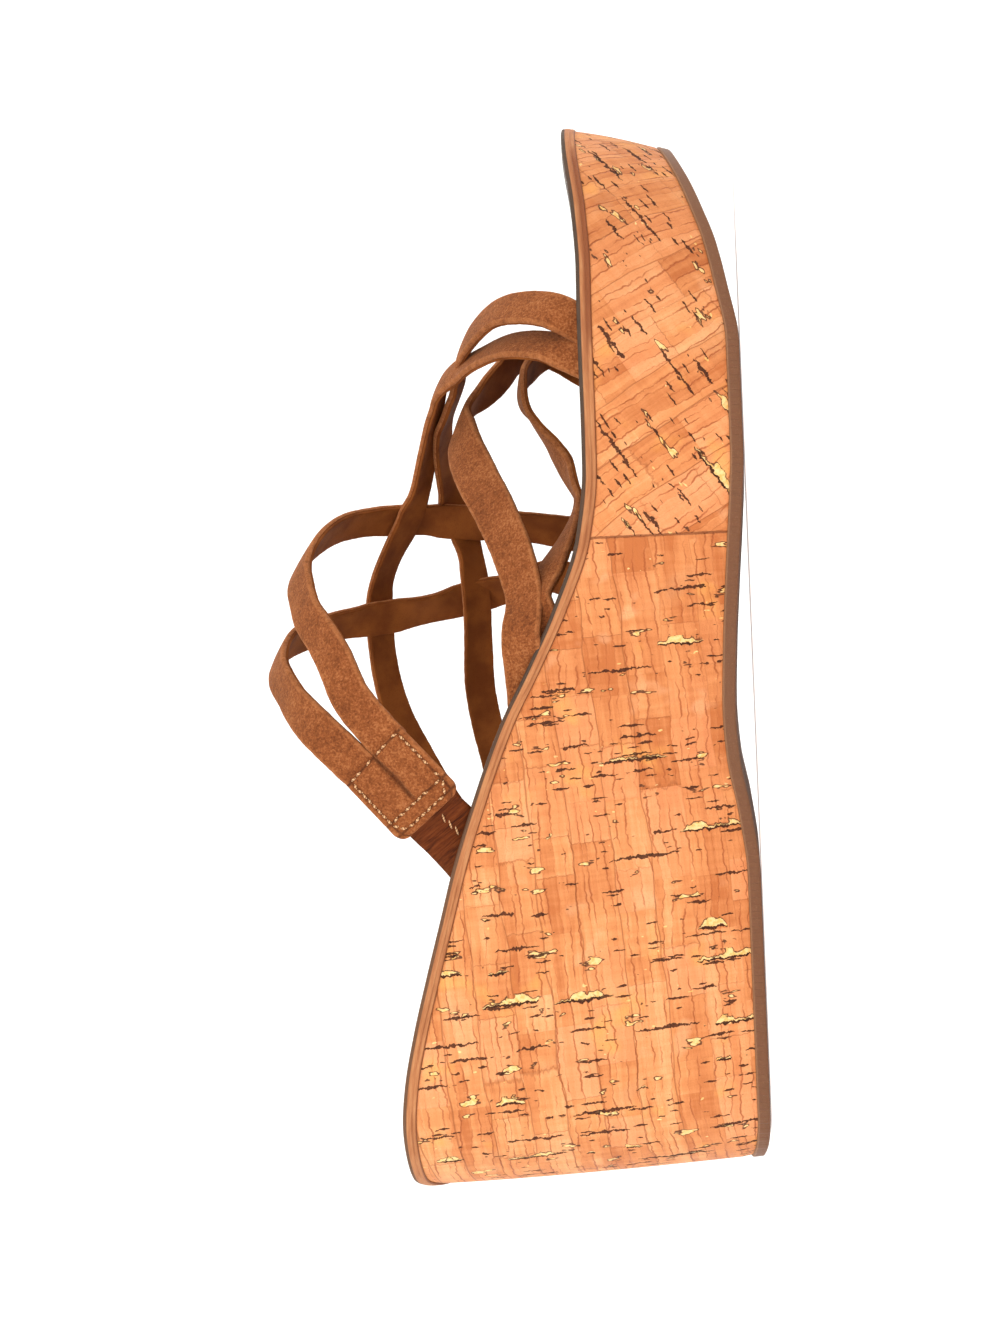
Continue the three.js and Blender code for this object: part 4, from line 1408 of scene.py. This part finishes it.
# Stage, in metres
FLOOR_CENTRE = np.array([0.08, 0, -0.0002])
FLOOR_FLAT = 1.2  # radius of the flat floor, and of the bend at its edge
FLOOR_BEND = 0.8
BACKDROP_TOP = 1.9
FLOOR_COUNT = 96
LIGHTS_AIM = np.array([0.08, 0.0, 0.05])
CAMERA_AHEAD = 0.0785
CAMERA_SWING = 0.1407  # slopes of the line of sight against the square one
CAMERA_TILT = 0.0115
SENSOR_WIDTH = 36.0  # millimetres
NEAREST_SEEN = 0.005


def floor_surface():
    """Floor that bends up into a round backdrop: a profile turned about the upright through its middle."""
    bend = np.linspace(0, np.pi / 2, 24)
    flat = [0.0, 0.3, 0.6, 0.9]
    out = np.concatenate([flat, FLOOR_FLAT + FLOOR_BEND * np.sin(bend), [FLOOR_FLAT + FLOOR_BEND]])
    up = np.concatenate([[0.0] * len(flat), FLOOR_BEND * (1 - np.cos(bend)), [BACKDROP_TOP]])
    turn = 2 * np.pi * np.arange(FLOOR_COUNT) / FLOOR_COUNT
    ring = np.stack([np.cos(turn), np.sin(turn), np.zeros(FLOOR_COUNT)], axis=-1)
    points = ring[None] * out[:, None, None] + UPRIGHT * up[:, None, None] + FLOOR_CENTRE
    faces = grid_block(points, np.zeros((len(out), FLOOR_COUNT + 1, 2)), wrap=True)["faces"]
    return points.reshape(-1, 3), faces[:, ::-1]


def placed(spot, right, upright, back):
    """Matrix of an object at a spot whose own axes point right, upright and back."""
    matrix = np.eye(4)
    matrix[:3, 0], matrix[:3, 1], matrix[:3, 2], matrix[:3, 3] = right, upright, back, spot
    return Matrix(matrix.tolist())


# Stitches, tab and smooth strap

STITCH_RINGS = 9
STITCH_SIDES = 6
STITCH_SINK = 0.12  # how deep a stitch's ends go into the leather
STITCH_SLANT = 0.28
STITCH_LIFTS = (-0.1, 0.14)
STITCHES_GONE = 0.14  # share of the tab's stitches that are worn away


def stitch_block(centre, along, up, length, radius, bow=0.28):
    """Many stitches at once: each is a tube of six sides whose radius follows the root of a sine and whose
    middle bows up from the leather. Arrays hold one stitch a row."""
    u = np.linspace(0, 1, STITCH_RINGS)
    turn = 2 * np.pi * np.arange(STITCH_SIDES) / STITCH_SIDES
    reach = (u - 0.5) * length
    fat = radius * np.sqrt(np.clip(np.sin(np.pi * np.clip(u, 0.02, 0.98)), 0, 1))
    rise = bow * (4 * u * (1 - u)) - STITCH_SINK
    out = np.cross(along, up)
    core = centre[:, None] + along[:, None] * reach[:, None] + up[:, None] * rise[:, None]
    ring = np.cos(turn)[:, None] * out[:, None, None] + np.sin(turn)[:, None] * up[:, None, None]
    points = core[:, :, None] + ring * fat[:, None, None]
    around = np.arange(STITCH_SIDES + 1) / STITCH_SIDES
    uv = np.stack(np.meshgrid(u * length, around, indexing="ij"), axis=-1)
    template = grid_block(points[0], uv, wrap=True, caps=True)
    size = len(template["points"])
    count = len(points)
    shift = (np.arange(count) * size)[:, None, None]
    faces = (template["faces"][None] + shift).reshape(-1, 4)
    corners = np.tile(template["corners"], (count, 1, 1))
    caps = [[v + k * size for v in cap] for k in range(count) for cap in template["caps"]]
    slot = np.zeros(len(faces), int)
    return {"points": points.reshape(-1, 3), "faces": faces, "corners": corners, "slot": slot, "caps": caps}


def tab_relief(run, across, half):
    """Height of the tab's face: a dark slit down the middle that opens to a lens and fades out, dents along
    the rows of stitches, a soft puff on both halves, and a small step down at the round end."""
    slit_end, lens_middle = 0.76 * TAB_LENGTH, 0.36 * TAB_LENGTH
    slit_deep = 0.62 * np.clip((slit_end - run) / 2.0, 0, 1)
    lens = np.exp(-(((run - lens_middle) / 2.6) ** 2))
    slit_wide = 0.42 + 0.6 * lens
    slit = (slit_deep + 0.55 * lens) * np.exp(-((across / slit_wide) ** 2))
    inset = half - ROW_INSET
    rows = [
        np.abs(run - ROW_TOP),
        np.abs(run - (TAB_LENGTH - ROW_LOW)),
        np.abs(run - (TAB_LENGTH - ROW_END)),
        np.abs(np.abs(across) - inset),
    ]
    nearest = np.minimum.reduce(np.broadcast_arrays(*rows))
    dent = 0.3 * np.exp(-((nearest / 0.55) ** 2))
    puff = 0.34 * np.sin(np.clip(np.abs(across) / inset, 0, 1) * np.pi) ** 0.8
    puff = puff * np.clip((TAB_LENGTH - ROW_LOW - run) / 2.5, 0, 1)
    return puff - slit - dent


def tab_half(run):
    """Half width of the tab: straight, then a quarter circle at each end corner."""
    straight = (2 * STRAP_WIDTH - PAIR_JOIN) / 2
    short = np.clip(TAB_CORNER - (TAB_LENGTH - run), 0, TAB_CORNER)
    return straight - (TAB_CORNER - np.sqrt(np.maximum(0, TAB_CORNER**2 - short**2)))


def tab_block(path):
    """The tab: lining below, rounded cut edges, and a face whose points are lifted by the relief."""
    run = path["run"]
    half = tab_half(run)
    share = np.linspace(-1, 1, TAB_COLUMNS)
    low = np.array([(1.0, -0.5, -1.0), (1.0, -0.2, -0.9), (1.0, -0.1, -0.45), (1.0, -0.22, -0.28)])
    high = [(1.0, -0.03, -0.15), (1.0, 0.02, 0.2), (1.0, -0.05, 0.6), (1.0, -0.2, 0.88), (1.0, -0.45, 1.0)]
    across_face = share[1:-1] * -0.9
    face = np.stack([across_face, np.zeros_like(across_face), np.ones_like(across_face)], axis=-1)
    right = np.concatenate([low, np.array(high)])
    left = (right * np.array([-1, -1, 1]))[::-1]
    middle = np.array([(-0.6, 0, -1.0), (0.0, 0, -1.0), (0.6, 0, -1.0)])
    section = np.concatenate([right, face, left, middle])
    outside = len(high) + len(face) + len(high)
    suede = np.array([0] * len(low) + [1] * outside + [0] * len(low) + [0] * len(middle))
    across = section[:, 0] * half[:, None] + section[:, 1]
    end = rounded(TAB_LENGTH - run, TAB_END_ROUND)[:, None]
    top = section[:, 2] > 0.5
    up = section[:, 2] * STRAP / 2 + np.where(top, tab_relief(run[:, None], across, half[:, None]), 0)
    up = np.where(section[:, 2] > 0, up - end, up + 0.4 * end)
    points = carried(path, across, up)
    v = np.clip(across / half[:, None], -1, 1)
    v = np.concatenate([v, v[:, :1]], axis=1)
    uv = np.stack([np.broadcast_to(run[:, None], v.shape), v], axis=-1)
    slots = 1 - suede * np.roll(suede, -1)
    return grid_block(points, uv, wrap=True, slots=slots, caps=True)


def tab_places(path, run, across):
    """Places on the tab's face with their directions, read off its path by run and distance across."""
    at = sections_at(path, run)
    up = STRAP / 2 + tab_relief(run, across, tab_half(run)) - rounded(TAB_LENGTH - run, TAB_END_ROUND)
    place = at["place"] + at["side"] * across[:, None] + at["face"] * up[:, None]
    return place, at


def stitch_row(path, start, end, pitch):
    """Stitches on the tab between two points given as run and distance across, one each pitch."""
    start, end = np.array(start, float), np.array(end, float)
    length = np.linalg.norm(end - start)
    count = max(1, int(round(length / pitch)))
    q = (np.arange(count) + 0.5) / count
    spot = start + (end - start) * q[:, None]
    place, at = tab_places(path, spot[:, 0], spot[:, 1])
    heading = (end - start) / length
    along = unit(at["tangent"] * heading[0] + at["side"] * heading[1])
    return place, along, at["face"]


def anchor_path():
    """Path of the smooth strap: from its slot at the outer rim up under the tab."""
    root = root_point("anchor_outer", ANCHOR_WIDTH)
    dense, run = tab_line()
    above = read_off(run[-1] - np.array(ANCHOR_SPOTS), run, dense)
    under = above - foot_normal(above) * ((STRAP + ANCHOR) / 2 + ANCHOR_GAP)
    points = [root_end(root, under[0]), root] + list(under)
    path = strap_path(points, [0] * len(points), [1] * len(points))
    first = np.flatnonzero(over_insole(path, ANCHOR_WIDTH))[0]
    return cut_path(path, slice(first, None))


# Settings, steps and panel


def color_property(name, description, text):
    """A colour that the user may change, with its default from a hexadecimal one."""
    return bpy.props.FloatVectorProperty(
        name=name, description=description, subtype="COLOR", size=3, min=0, max=1, default=srgb(text)[:3]
    )


def length_property(name, description, default):
    """A length in metres that the user may change."""
    return bpy.props.FloatProperty(
        name=name, description=description, default=default, min=0.0, unit="LENGTH"
    )


class SandalSoleSettings(bpy.types.PropertyGroup):
    """Finish of the sole's layers."""

    strip_width: length_property("Strip width", "Width of the cork strips behind the cross seam", 0.0086)
    toe_strip_width: length_property("Toe strip width", "Width of the slanting strips at the toe", 0.0105)
    seam_place: length_property("Seam place", "Distance of the cross seam ahead of the origin", 0.1035)
    edge_dull: length_property("Dull edge", "Height of the duller cork just above the outsole", 0.0035)
    cork_light: color_property("Cork, light", "Palest tone of the cork", "EDB07C")
    cork_middle: color_property("Cork, middle", "Main tone of the cork", "D88D56")
    cork_deep: color_property("Cork, deep", "Deepest tone of the cork", "B96936")
    outsole_color: color_property("Outsole", "Main tone of the outsole", "6E452A")
    footbed_color: color_property("Footbed", "Main tone of the footbed", "47301F")


class SandalStrapSettings(bpy.types.PropertyGroup):
    """Sizes and finish of the straps."""

    width: length_property("Strap width", "Width of the instep and crossing straps", STRAP_WIDTH * MM)
    vamp_width: length_property("Front strap width", "Width of the two front straps", VAMP_STRAP_WIDTH * MM)
    stitch_length: length_property("Stitch length", "Length of one stitch on the tab", 0.00135)
    stitch_pitch: length_property("Stitch pitch", "Distance from one stitch to the next", 0.00172)
    suede: color_property("Suede", "Main tone of the suede", "884A24")
    suede_light: color_property("Suede, light", "Brushed and worn tone of the suede", "B07043")
    suede_dark: color_property("Suede, dark", "Shaded tone of the suede", "5E2E13")
    lining: color_property("Lining", "Main tone of the lining", "6A3716")
    smooth: color_property("Smooth leather", "Main tone of the strap under the tab", "602A08")


class SandalStageSettings(bpy.types.PropertyGroup):
    """Floor, light and camera."""

    floor_color: color_property("Floor", "Colour of floor and backdrop", "F4F3F1")
    key_power: bpy.props.FloatProperty(
        name="Key light", description="Power of the large light", default=6.7, min=0.0, unit="POWER"
    )
    fill_power: bpy.props.FloatProperty(
        name="Fill light", description="Power of the other lights", default=3.8, min=0.0, unit="POWER"
    )
    world_light: bpy.props.FloatProperty(
        name="World", description="Strength of the sky's even light", default=0.4, min=0.0
    )
    camera_distance: length_property("Camera distance", "Camera to the shoe's middle plane", 0.42)
    camera_height: length_property("Camera height", "Camera above the floor", 0.0015)
    lens: bpy.props.FloatProperty(name="Lens", description="Focal length", default=47.0, unit="CAMERA")
    roll: bpy.props.FloatProperty(
        name="Roll",
        description="Turn of the picture past a right angle",
        subtype="ANGLE",
        default=math.radians(2.33),
    )


class SANDAL_OT_outsole(bpy.types.Operator):
    """Builds the outsole with its rounded lower edge"""

    bl_idname = "sandal.outsole"
    bl_label = "Outsole"

    def execute(self, context):
        sole = context.scene.sandal_sole
        thick = OUTSOLE + GAP / 2

        def low(s):
            """The underside, on the ground line."""
            return np.zeros_like(s)

        def high(s):
            """The top of the outsole."""
            return above_ground(s, thick)

        def bulge(f):
            """The same all the way up."""
            return STAND_OUT

        rows = wall_rows(low, high, thick, 14, bulge, 0.5)
        piece = make_piece("outsole_moulded", shell_of_sole(rows), [outsole_material(sole)])
        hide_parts("outsole")
        return {"FINISHED"}


class SANDAL_OT_cork_wedge(bpy.types.Operator):
    """Builds the cork wedge with its veneered wall"""

    bl_idname = "sandal.cork_wedge"
    bl_label = "Cork wedge"

    def execute(self, context):
        sole = context.scene.sandal_sole

        def low(s):
            """The underside, on the outsole."""
            return above_ground(s, OUTSOLE)

        def high(s):
            """The top, just over the rim's lower edge."""
            return below_top(s, DARK_EDGE + RIM_HEIGHT - GAP)

        s, side = rim(RIM_COUNT)
        outwards, around = plan_normal(s, side), perimeter(s, side)
        flat = (0.0, 0.5, 0.97)
        rings = [(t, low, 0.0) for t in flat]
        for f in np.linspace(0, 1, 34):
            swell = 0.15 * math.sin(math.pi * f)
            broken_edge = 0.25 * (f in (0, 1))
            rings.append((1.0, between(low, high, f), swell - broken_edge))
        rings += [(t, high, 0.0) for t in flat[::-1]]
        points = np.stack(
            [sole_point(s, side * t, level(s)) + outwards * outset for t, level, outset in rings]
        )
        height = np.concatenate([points[..., 2], points[:, :1, 2]], axis=1)
        uv = np.stack([np.broadcast_to(around, height.shape), height], axis=-1)
        block = grid_block(points, uv, wrap=True)
        piece = make_piece("cork_wedge_veneered", block, [cork_material(sole)])
        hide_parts("cork_wedge")
        return {"FINISHED"}


class SANDAL_OT_midsole(bpy.types.Operator):
    """Builds the tan leather rim between cork and insole"""

    bl_idname = "sandal.midsole"
    bl_label = "Midsole"

    def execute(self, context):

        def low(s):
            """The rim's lower edge."""
            return below_top(s, DARK_EDGE + RIM_HEIGHT)

        def high(s):
            """The rim's upper edge, under the painted one."""
            return below_top(s, DARK_EDGE)

        def bulge(f):
            """Half a sine wave over the height, less a bell-shaped groove."""
            groove = 0.07 * math.exp(-(((f - 0.42) / 0.1) ** 2))
            return STAND_OUT + 0.1 * math.sin(math.pi * f) - groove

        rows = wall_rows(low, high, RIM_HEIGHT, 26, bulge, 0.35)
        material = rim_material(context.scene.sandal_sole)
        piece = make_piece("midsole_rim", shell_of_sole(rows, RIM_COUNT), [material])
        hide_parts("midsole")
        return {"FINISHED"}


class SANDAL_OT_insole(bpy.types.Operator):
    """Builds the insole: painted edge, rolled rim, soft footbed and the stitches round it"""

    bl_idname = "sandal.insole"
    bl_label = "Insole"

    def execute(self, context):
        sole = context.scene.sandal_sole
        materials = [footbed_material(sole), edge_paint_material()]
        piece = make_piece("insole_footbed", insole_block(), materials)
        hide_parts("insole")

        material = thread_material("insole_thread", srgb("B09A86"), srgb("6E5A4A"))
        place, along, up = insole_seam()
        block = stitch_block(place, along, up, length=3.0, radius=0.26, bow=0.14)
        thread = make_piece("insole_stitches", block, [material], merge=False)
        return {"FINISHED"}


class SANDAL_OT_straps(bpy.types.Operator):
    """Builds the six suede straps with their lining, woven over and under each other"""

    bl_idname = "sandal.straps"
    bl_label = "Straps"

    def execute(self, context):
        straps = context.scene.sandal_straps
        materials = [suede_material(straps), lining_material(straps)]
        widths = {STRAP_WIDTH: straps.width / MM, VAMP_STRAP_WIDTH: straps.vamp_width / MM}
        for number, (name, path) in enumerate(all_paths().items()):
            width = widths[STRAPS[name]["width"]]
            block = ribbon_block(path, width, STRAP, 10 * number + 1)
            piece = make_piece("strap_" + name, block, materials, sharp=50)
            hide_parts("upper")
        return {"FINISHED"}


class SANDAL_OT_tab(bpy.types.Operator):
    """Builds the sewn tab that holds the two instep straps, with its golden stitches"""

    bl_idname = "sandal.tab"
    bl_label = "Tab"

    def execute(self, context):
        straps = context.scene.sandal_straps
        path = tab_path()
        materials = [suede_material(straps, "sewn_suede", sewn=True), bpy.data.materials["strap_lining"]]
        piece = make_piece("tab_sewn", tab_block(path), materials, sharp=60)
        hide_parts("upper")

        # Rows of stitches as two ends, each given as run and distance across
        half = (2 * STRAP_WIDTH - PAIR_JOIN) / 2 - ROW_INSET
        pitch = straps.stitch_pitch / MM
        end, low = TAB_LENGTH - ROW_END, TAB_LENGTH - ROW_LOW
        lines = [
            ((ROW_TOP, -half), (ROW_TOP, half)),
            ((1.2, half), (low - 0.6, half)),
            ((1.2, -half), (low + 0.2, -half)),
            ((low, -half + 0.6), (low, half - 0.4)),
            ((end, -half + 2.3), (end, half - 2.3)),
            ((low + 0.5, half), (end, half - 1.9)),
            ((low + 0.5, -half), (end, -half + 1.9)),
        ]
        rows = [stitch_row(path, a, b, pitch) for a, b in lines]
        place, along, up = (np.concatenate([row[k] for row in rows]) for k in range(3))

        # Hand-worn stitches: each a little aslant and up or down, and some gone
        random = np.random.default_rng(4)
        slant = random.normal(0, STITCH_SLANT, (len(place), 1))
        along = unit(along + np.cross(up, along) * slant)
        place = place + up * random.uniform(*STITCH_LIFTS, (len(place), 1))
        shown = random.uniform(size=len(place)) > STITCHES_GONE
        place, along, up = place[shown], along[shown], up[shown]
        # Golden thread whose pale tone is partly its own colour and partly a painted highlight; the darker
        # colour is painted shade
        material = thread_material("golden_thread", srgb("F3C48C"), srgb("8A5326"))
        block = stitch_block(place + up * 0.08, along, up, straps.stitch_length / MM, radius=0.27)
        thread = make_piece("tab_stitches", block, [material], merge=False)
        return {"FINISHED"}


class SANDAL_OT_anchor(bpy.types.Operator):
    """Builds the smooth strap that comes out under the tab, with its three stitches"""

    bl_idname = "sandal.anchor"
    bl_label = "Smooth strap"

    def execute(self, context):
        straps = context.scene.sandal_straps
        path = anchor_path()
        block = ribbon_block(path, ANCHOR_WIDTH, ANCHOR, 91, cup=0.2, ragged=0.05)
        materials = [smooth_leather_material(straps), bpy.data.materials["strap_lining"]]
        piece = make_piece("anchor_strap_smooth", block, materials, sharp=50)
        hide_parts("anchor_strap")

        # Three stitches just beside the middle, between the tab and the rim
        toeward = np.sign(path["side"][len(path["side"]) // 3, 0])
        tab_end = tab_path()["place"][-1]
        under_tab = path["run"][np.argmin(np.linalg.norm(path["place"] - tab_end, axis=1))]
        at = sections_at(path, under_tab - np.array(ANCHOR_STITCHES))
        place = at["place"] + at["side"] * toeward * ANCHOR_STITCH_ASIDE + at["face"] * (ANCHOR / 2 + 0.25)
        along = unit(at["tangent"] + at["side"] * toeward * 0.45)
        block = stitch_block(place, along, at["face"], length=2.4, radius=0.22, bow=0.25)
        thread = make_piece("anchor_stitches", block, [bpy.data.materials["golden_thread"]], merge=False)
        return {"FINISHED"}


class SANDAL_OT_stage(bpy.types.Operator):
    """Builds floor, lights and the camera, which is rolled so that the toe points up"""

    bl_idname = "sandal.stage"
    bl_label = "Stage"

    def execute(self, context):
        stage = context.scene.sandal_stage
        scene = context.scene
        scene.view_settings.view_transform = "Standard"

        points, faces = floor_surface()
        mesh = bpy.data.meshes.new("floor")
        mesh.from_pydata(points.tolist(), [], faces.tolist())
        mesh.polygons.foreach_set("use_smooth", np.ones(len(mesh.polygons), bool))
        floor = bpy.data.objects.new("floor", mesh)
        scene.collection.objects.link(floor)
        g = Graph("pale_floor")
        mottle = g.noise(g.add("ShaderNodeTexCoord", {}, out=3), 3.0, 2.0)
        color = g.mix(g.times(mottle, 0.04), opaque(stage.floor_color), srgb("E6E4E0"))
        glow = {"Emission_Color": srgb("FFFFFF"), "Emission_Strength": 0.36}
        mesh.materials.append(g.surface(color, 0.9, **glow))

        world = bpy.data.worlds.new("studio")
        world.use_nodes = True
        world.node_tree.nodes["Background"].inputs[0].default_value = (1.0, 0.99, 0.975, 1.0)
        world.node_tree.nodes["Background"].inputs[1].default_value = stage.world_light
        scene.world = world

        # Area lights that face the shoe: name, place, size, power and colour
        lights = [
            ("key", (0.42, -1.0, 0.75), 0.9, stage.key_power, (1.0, 0.97, 0.93)),
            ("top", (-0.05, 0.15, 1.3), 1.1, stage.fill_power, (1.0, 0.99, 0.98)),
            ("heel_side", (-0.9, -0.45, 0.55), 0.7, stage.fill_power * 0.6, (1.0, 0.97, 0.94)),
            ("inner_side", (0.35, 1.0, 0.6), 0.8, stage.fill_power * 0.7, (0.97, 0.98, 1.0)),
        ]
        for name, place, size, power, color in lights:
            data = bpy.data.lights.new(name, "AREA")
            data.size, data.energy, data.color = size, power, color
            lamp = bpy.data.objects.new(name, data)
            back = unit(np.array(place) - LIGHTS_AIM)
            right = unit(np.cross(UPRIGHT, back))
            lamp.matrix_world = placed(np.array(place), right, np.cross(back, right), back)
            scene.collection.objects.link(lamp)

        # Camera: level with the floor, square to the shoe's side and rolled so that the toe points up,
        # then swung about the picture's upright until the shoe is in the middle of the frame
        c, s = math.cos(stage.roll), math.sin(stage.roll)
        right, upright = np.array([-s, 0, -c]), np.array([c, 0, -s])
        ahead = unit(np.array([0, 1.0, 0]) - CAMERA_SWING * right - CAMERA_TILT * upright)
        right = unit(right - ahead * (right @ ahead))
        data = bpy.data.cameras.new("camera")
        data.lens, data.sensor_width, data.clip_start = stage.lens, SENSOR_WIDTH, NEAREST_SEEN
        camera = bpy.data.objects.new("camera", data)
        spot = np.array([CAMERA_AHEAD, -stage.camera_distance, stage.camera_height])
        camera.matrix_world = placed(spot, right, np.cross(-ahead, right), -ahead)
        scene.collection.objects.link(camera)
        scene.camera = camera
        return {"FINISHED"}


class SANDAL_PT_panel(bpy.types.Panel):
    """Lists the steps that build the sandal"""

    bl_idname = "SANDAL_PT_panel"
    bl_label = "Platform Sandal"
    bl_space_type = "VIEW_3D"
    bl_region_type = "UI"
    bl_category = "Sandal"

    def draw(self, context):
        for operator in OPERATORS:
            self.layout.operator(operator.bl_idname)
        for group in ("sandal_sole", "sandal_straps", "sandal_stage"):
            box = self.layout.box()
            settings = getattr(context.scene, group)
            for name in settings.__annotations__:
                box.prop(settings, name)


OPERATORS = (
    SANDAL_OT_outsole,
    SANDAL_OT_cork_wedge,
    SANDAL_OT_midsole,
    SANDAL_OT_insole,
    SANDAL_OT_straps,
    SANDAL_OT_tab,
    SANDAL_OT_anchor,
    SANDAL_OT_stage,
)
SETTINGS = {
    "sandal_sole": SandalSoleSettings,
    "sandal_straps": SandalStrapSettings,
    "sandal_stage": SandalStageSettings,
}


def register():
    """Registers the settings, operators and panel."""
    for name, group in SETTINGS.items():
        bpy.utils.register_class(group)
        setattr(bpy.types.Scene, name, bpy.props.PointerProperty(type=group))
    for item in OPERATORS + (SANDAL_PT_panel,):
        bpy.utils.register_class(item)


def unregister():
    """Takes them away again."""
    for item in (SANDAL_PT_panel,) + OPERATORS[::-1]:
        bpy.utils.unregister_class(item)
    for name, group in SETTINGS.items():
        delattr(bpy.types.Scene, name)
        bpy.utils.unregister_class(group)


def main():
    """Builds every piece in order."""
    register()
    for operator in OPERATORS:
        group, name = operator.bl_idname.split(".")
        getattr(getattr(bpy.ops, group), name)()
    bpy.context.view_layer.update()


if __name__ == "__main__":
    main()
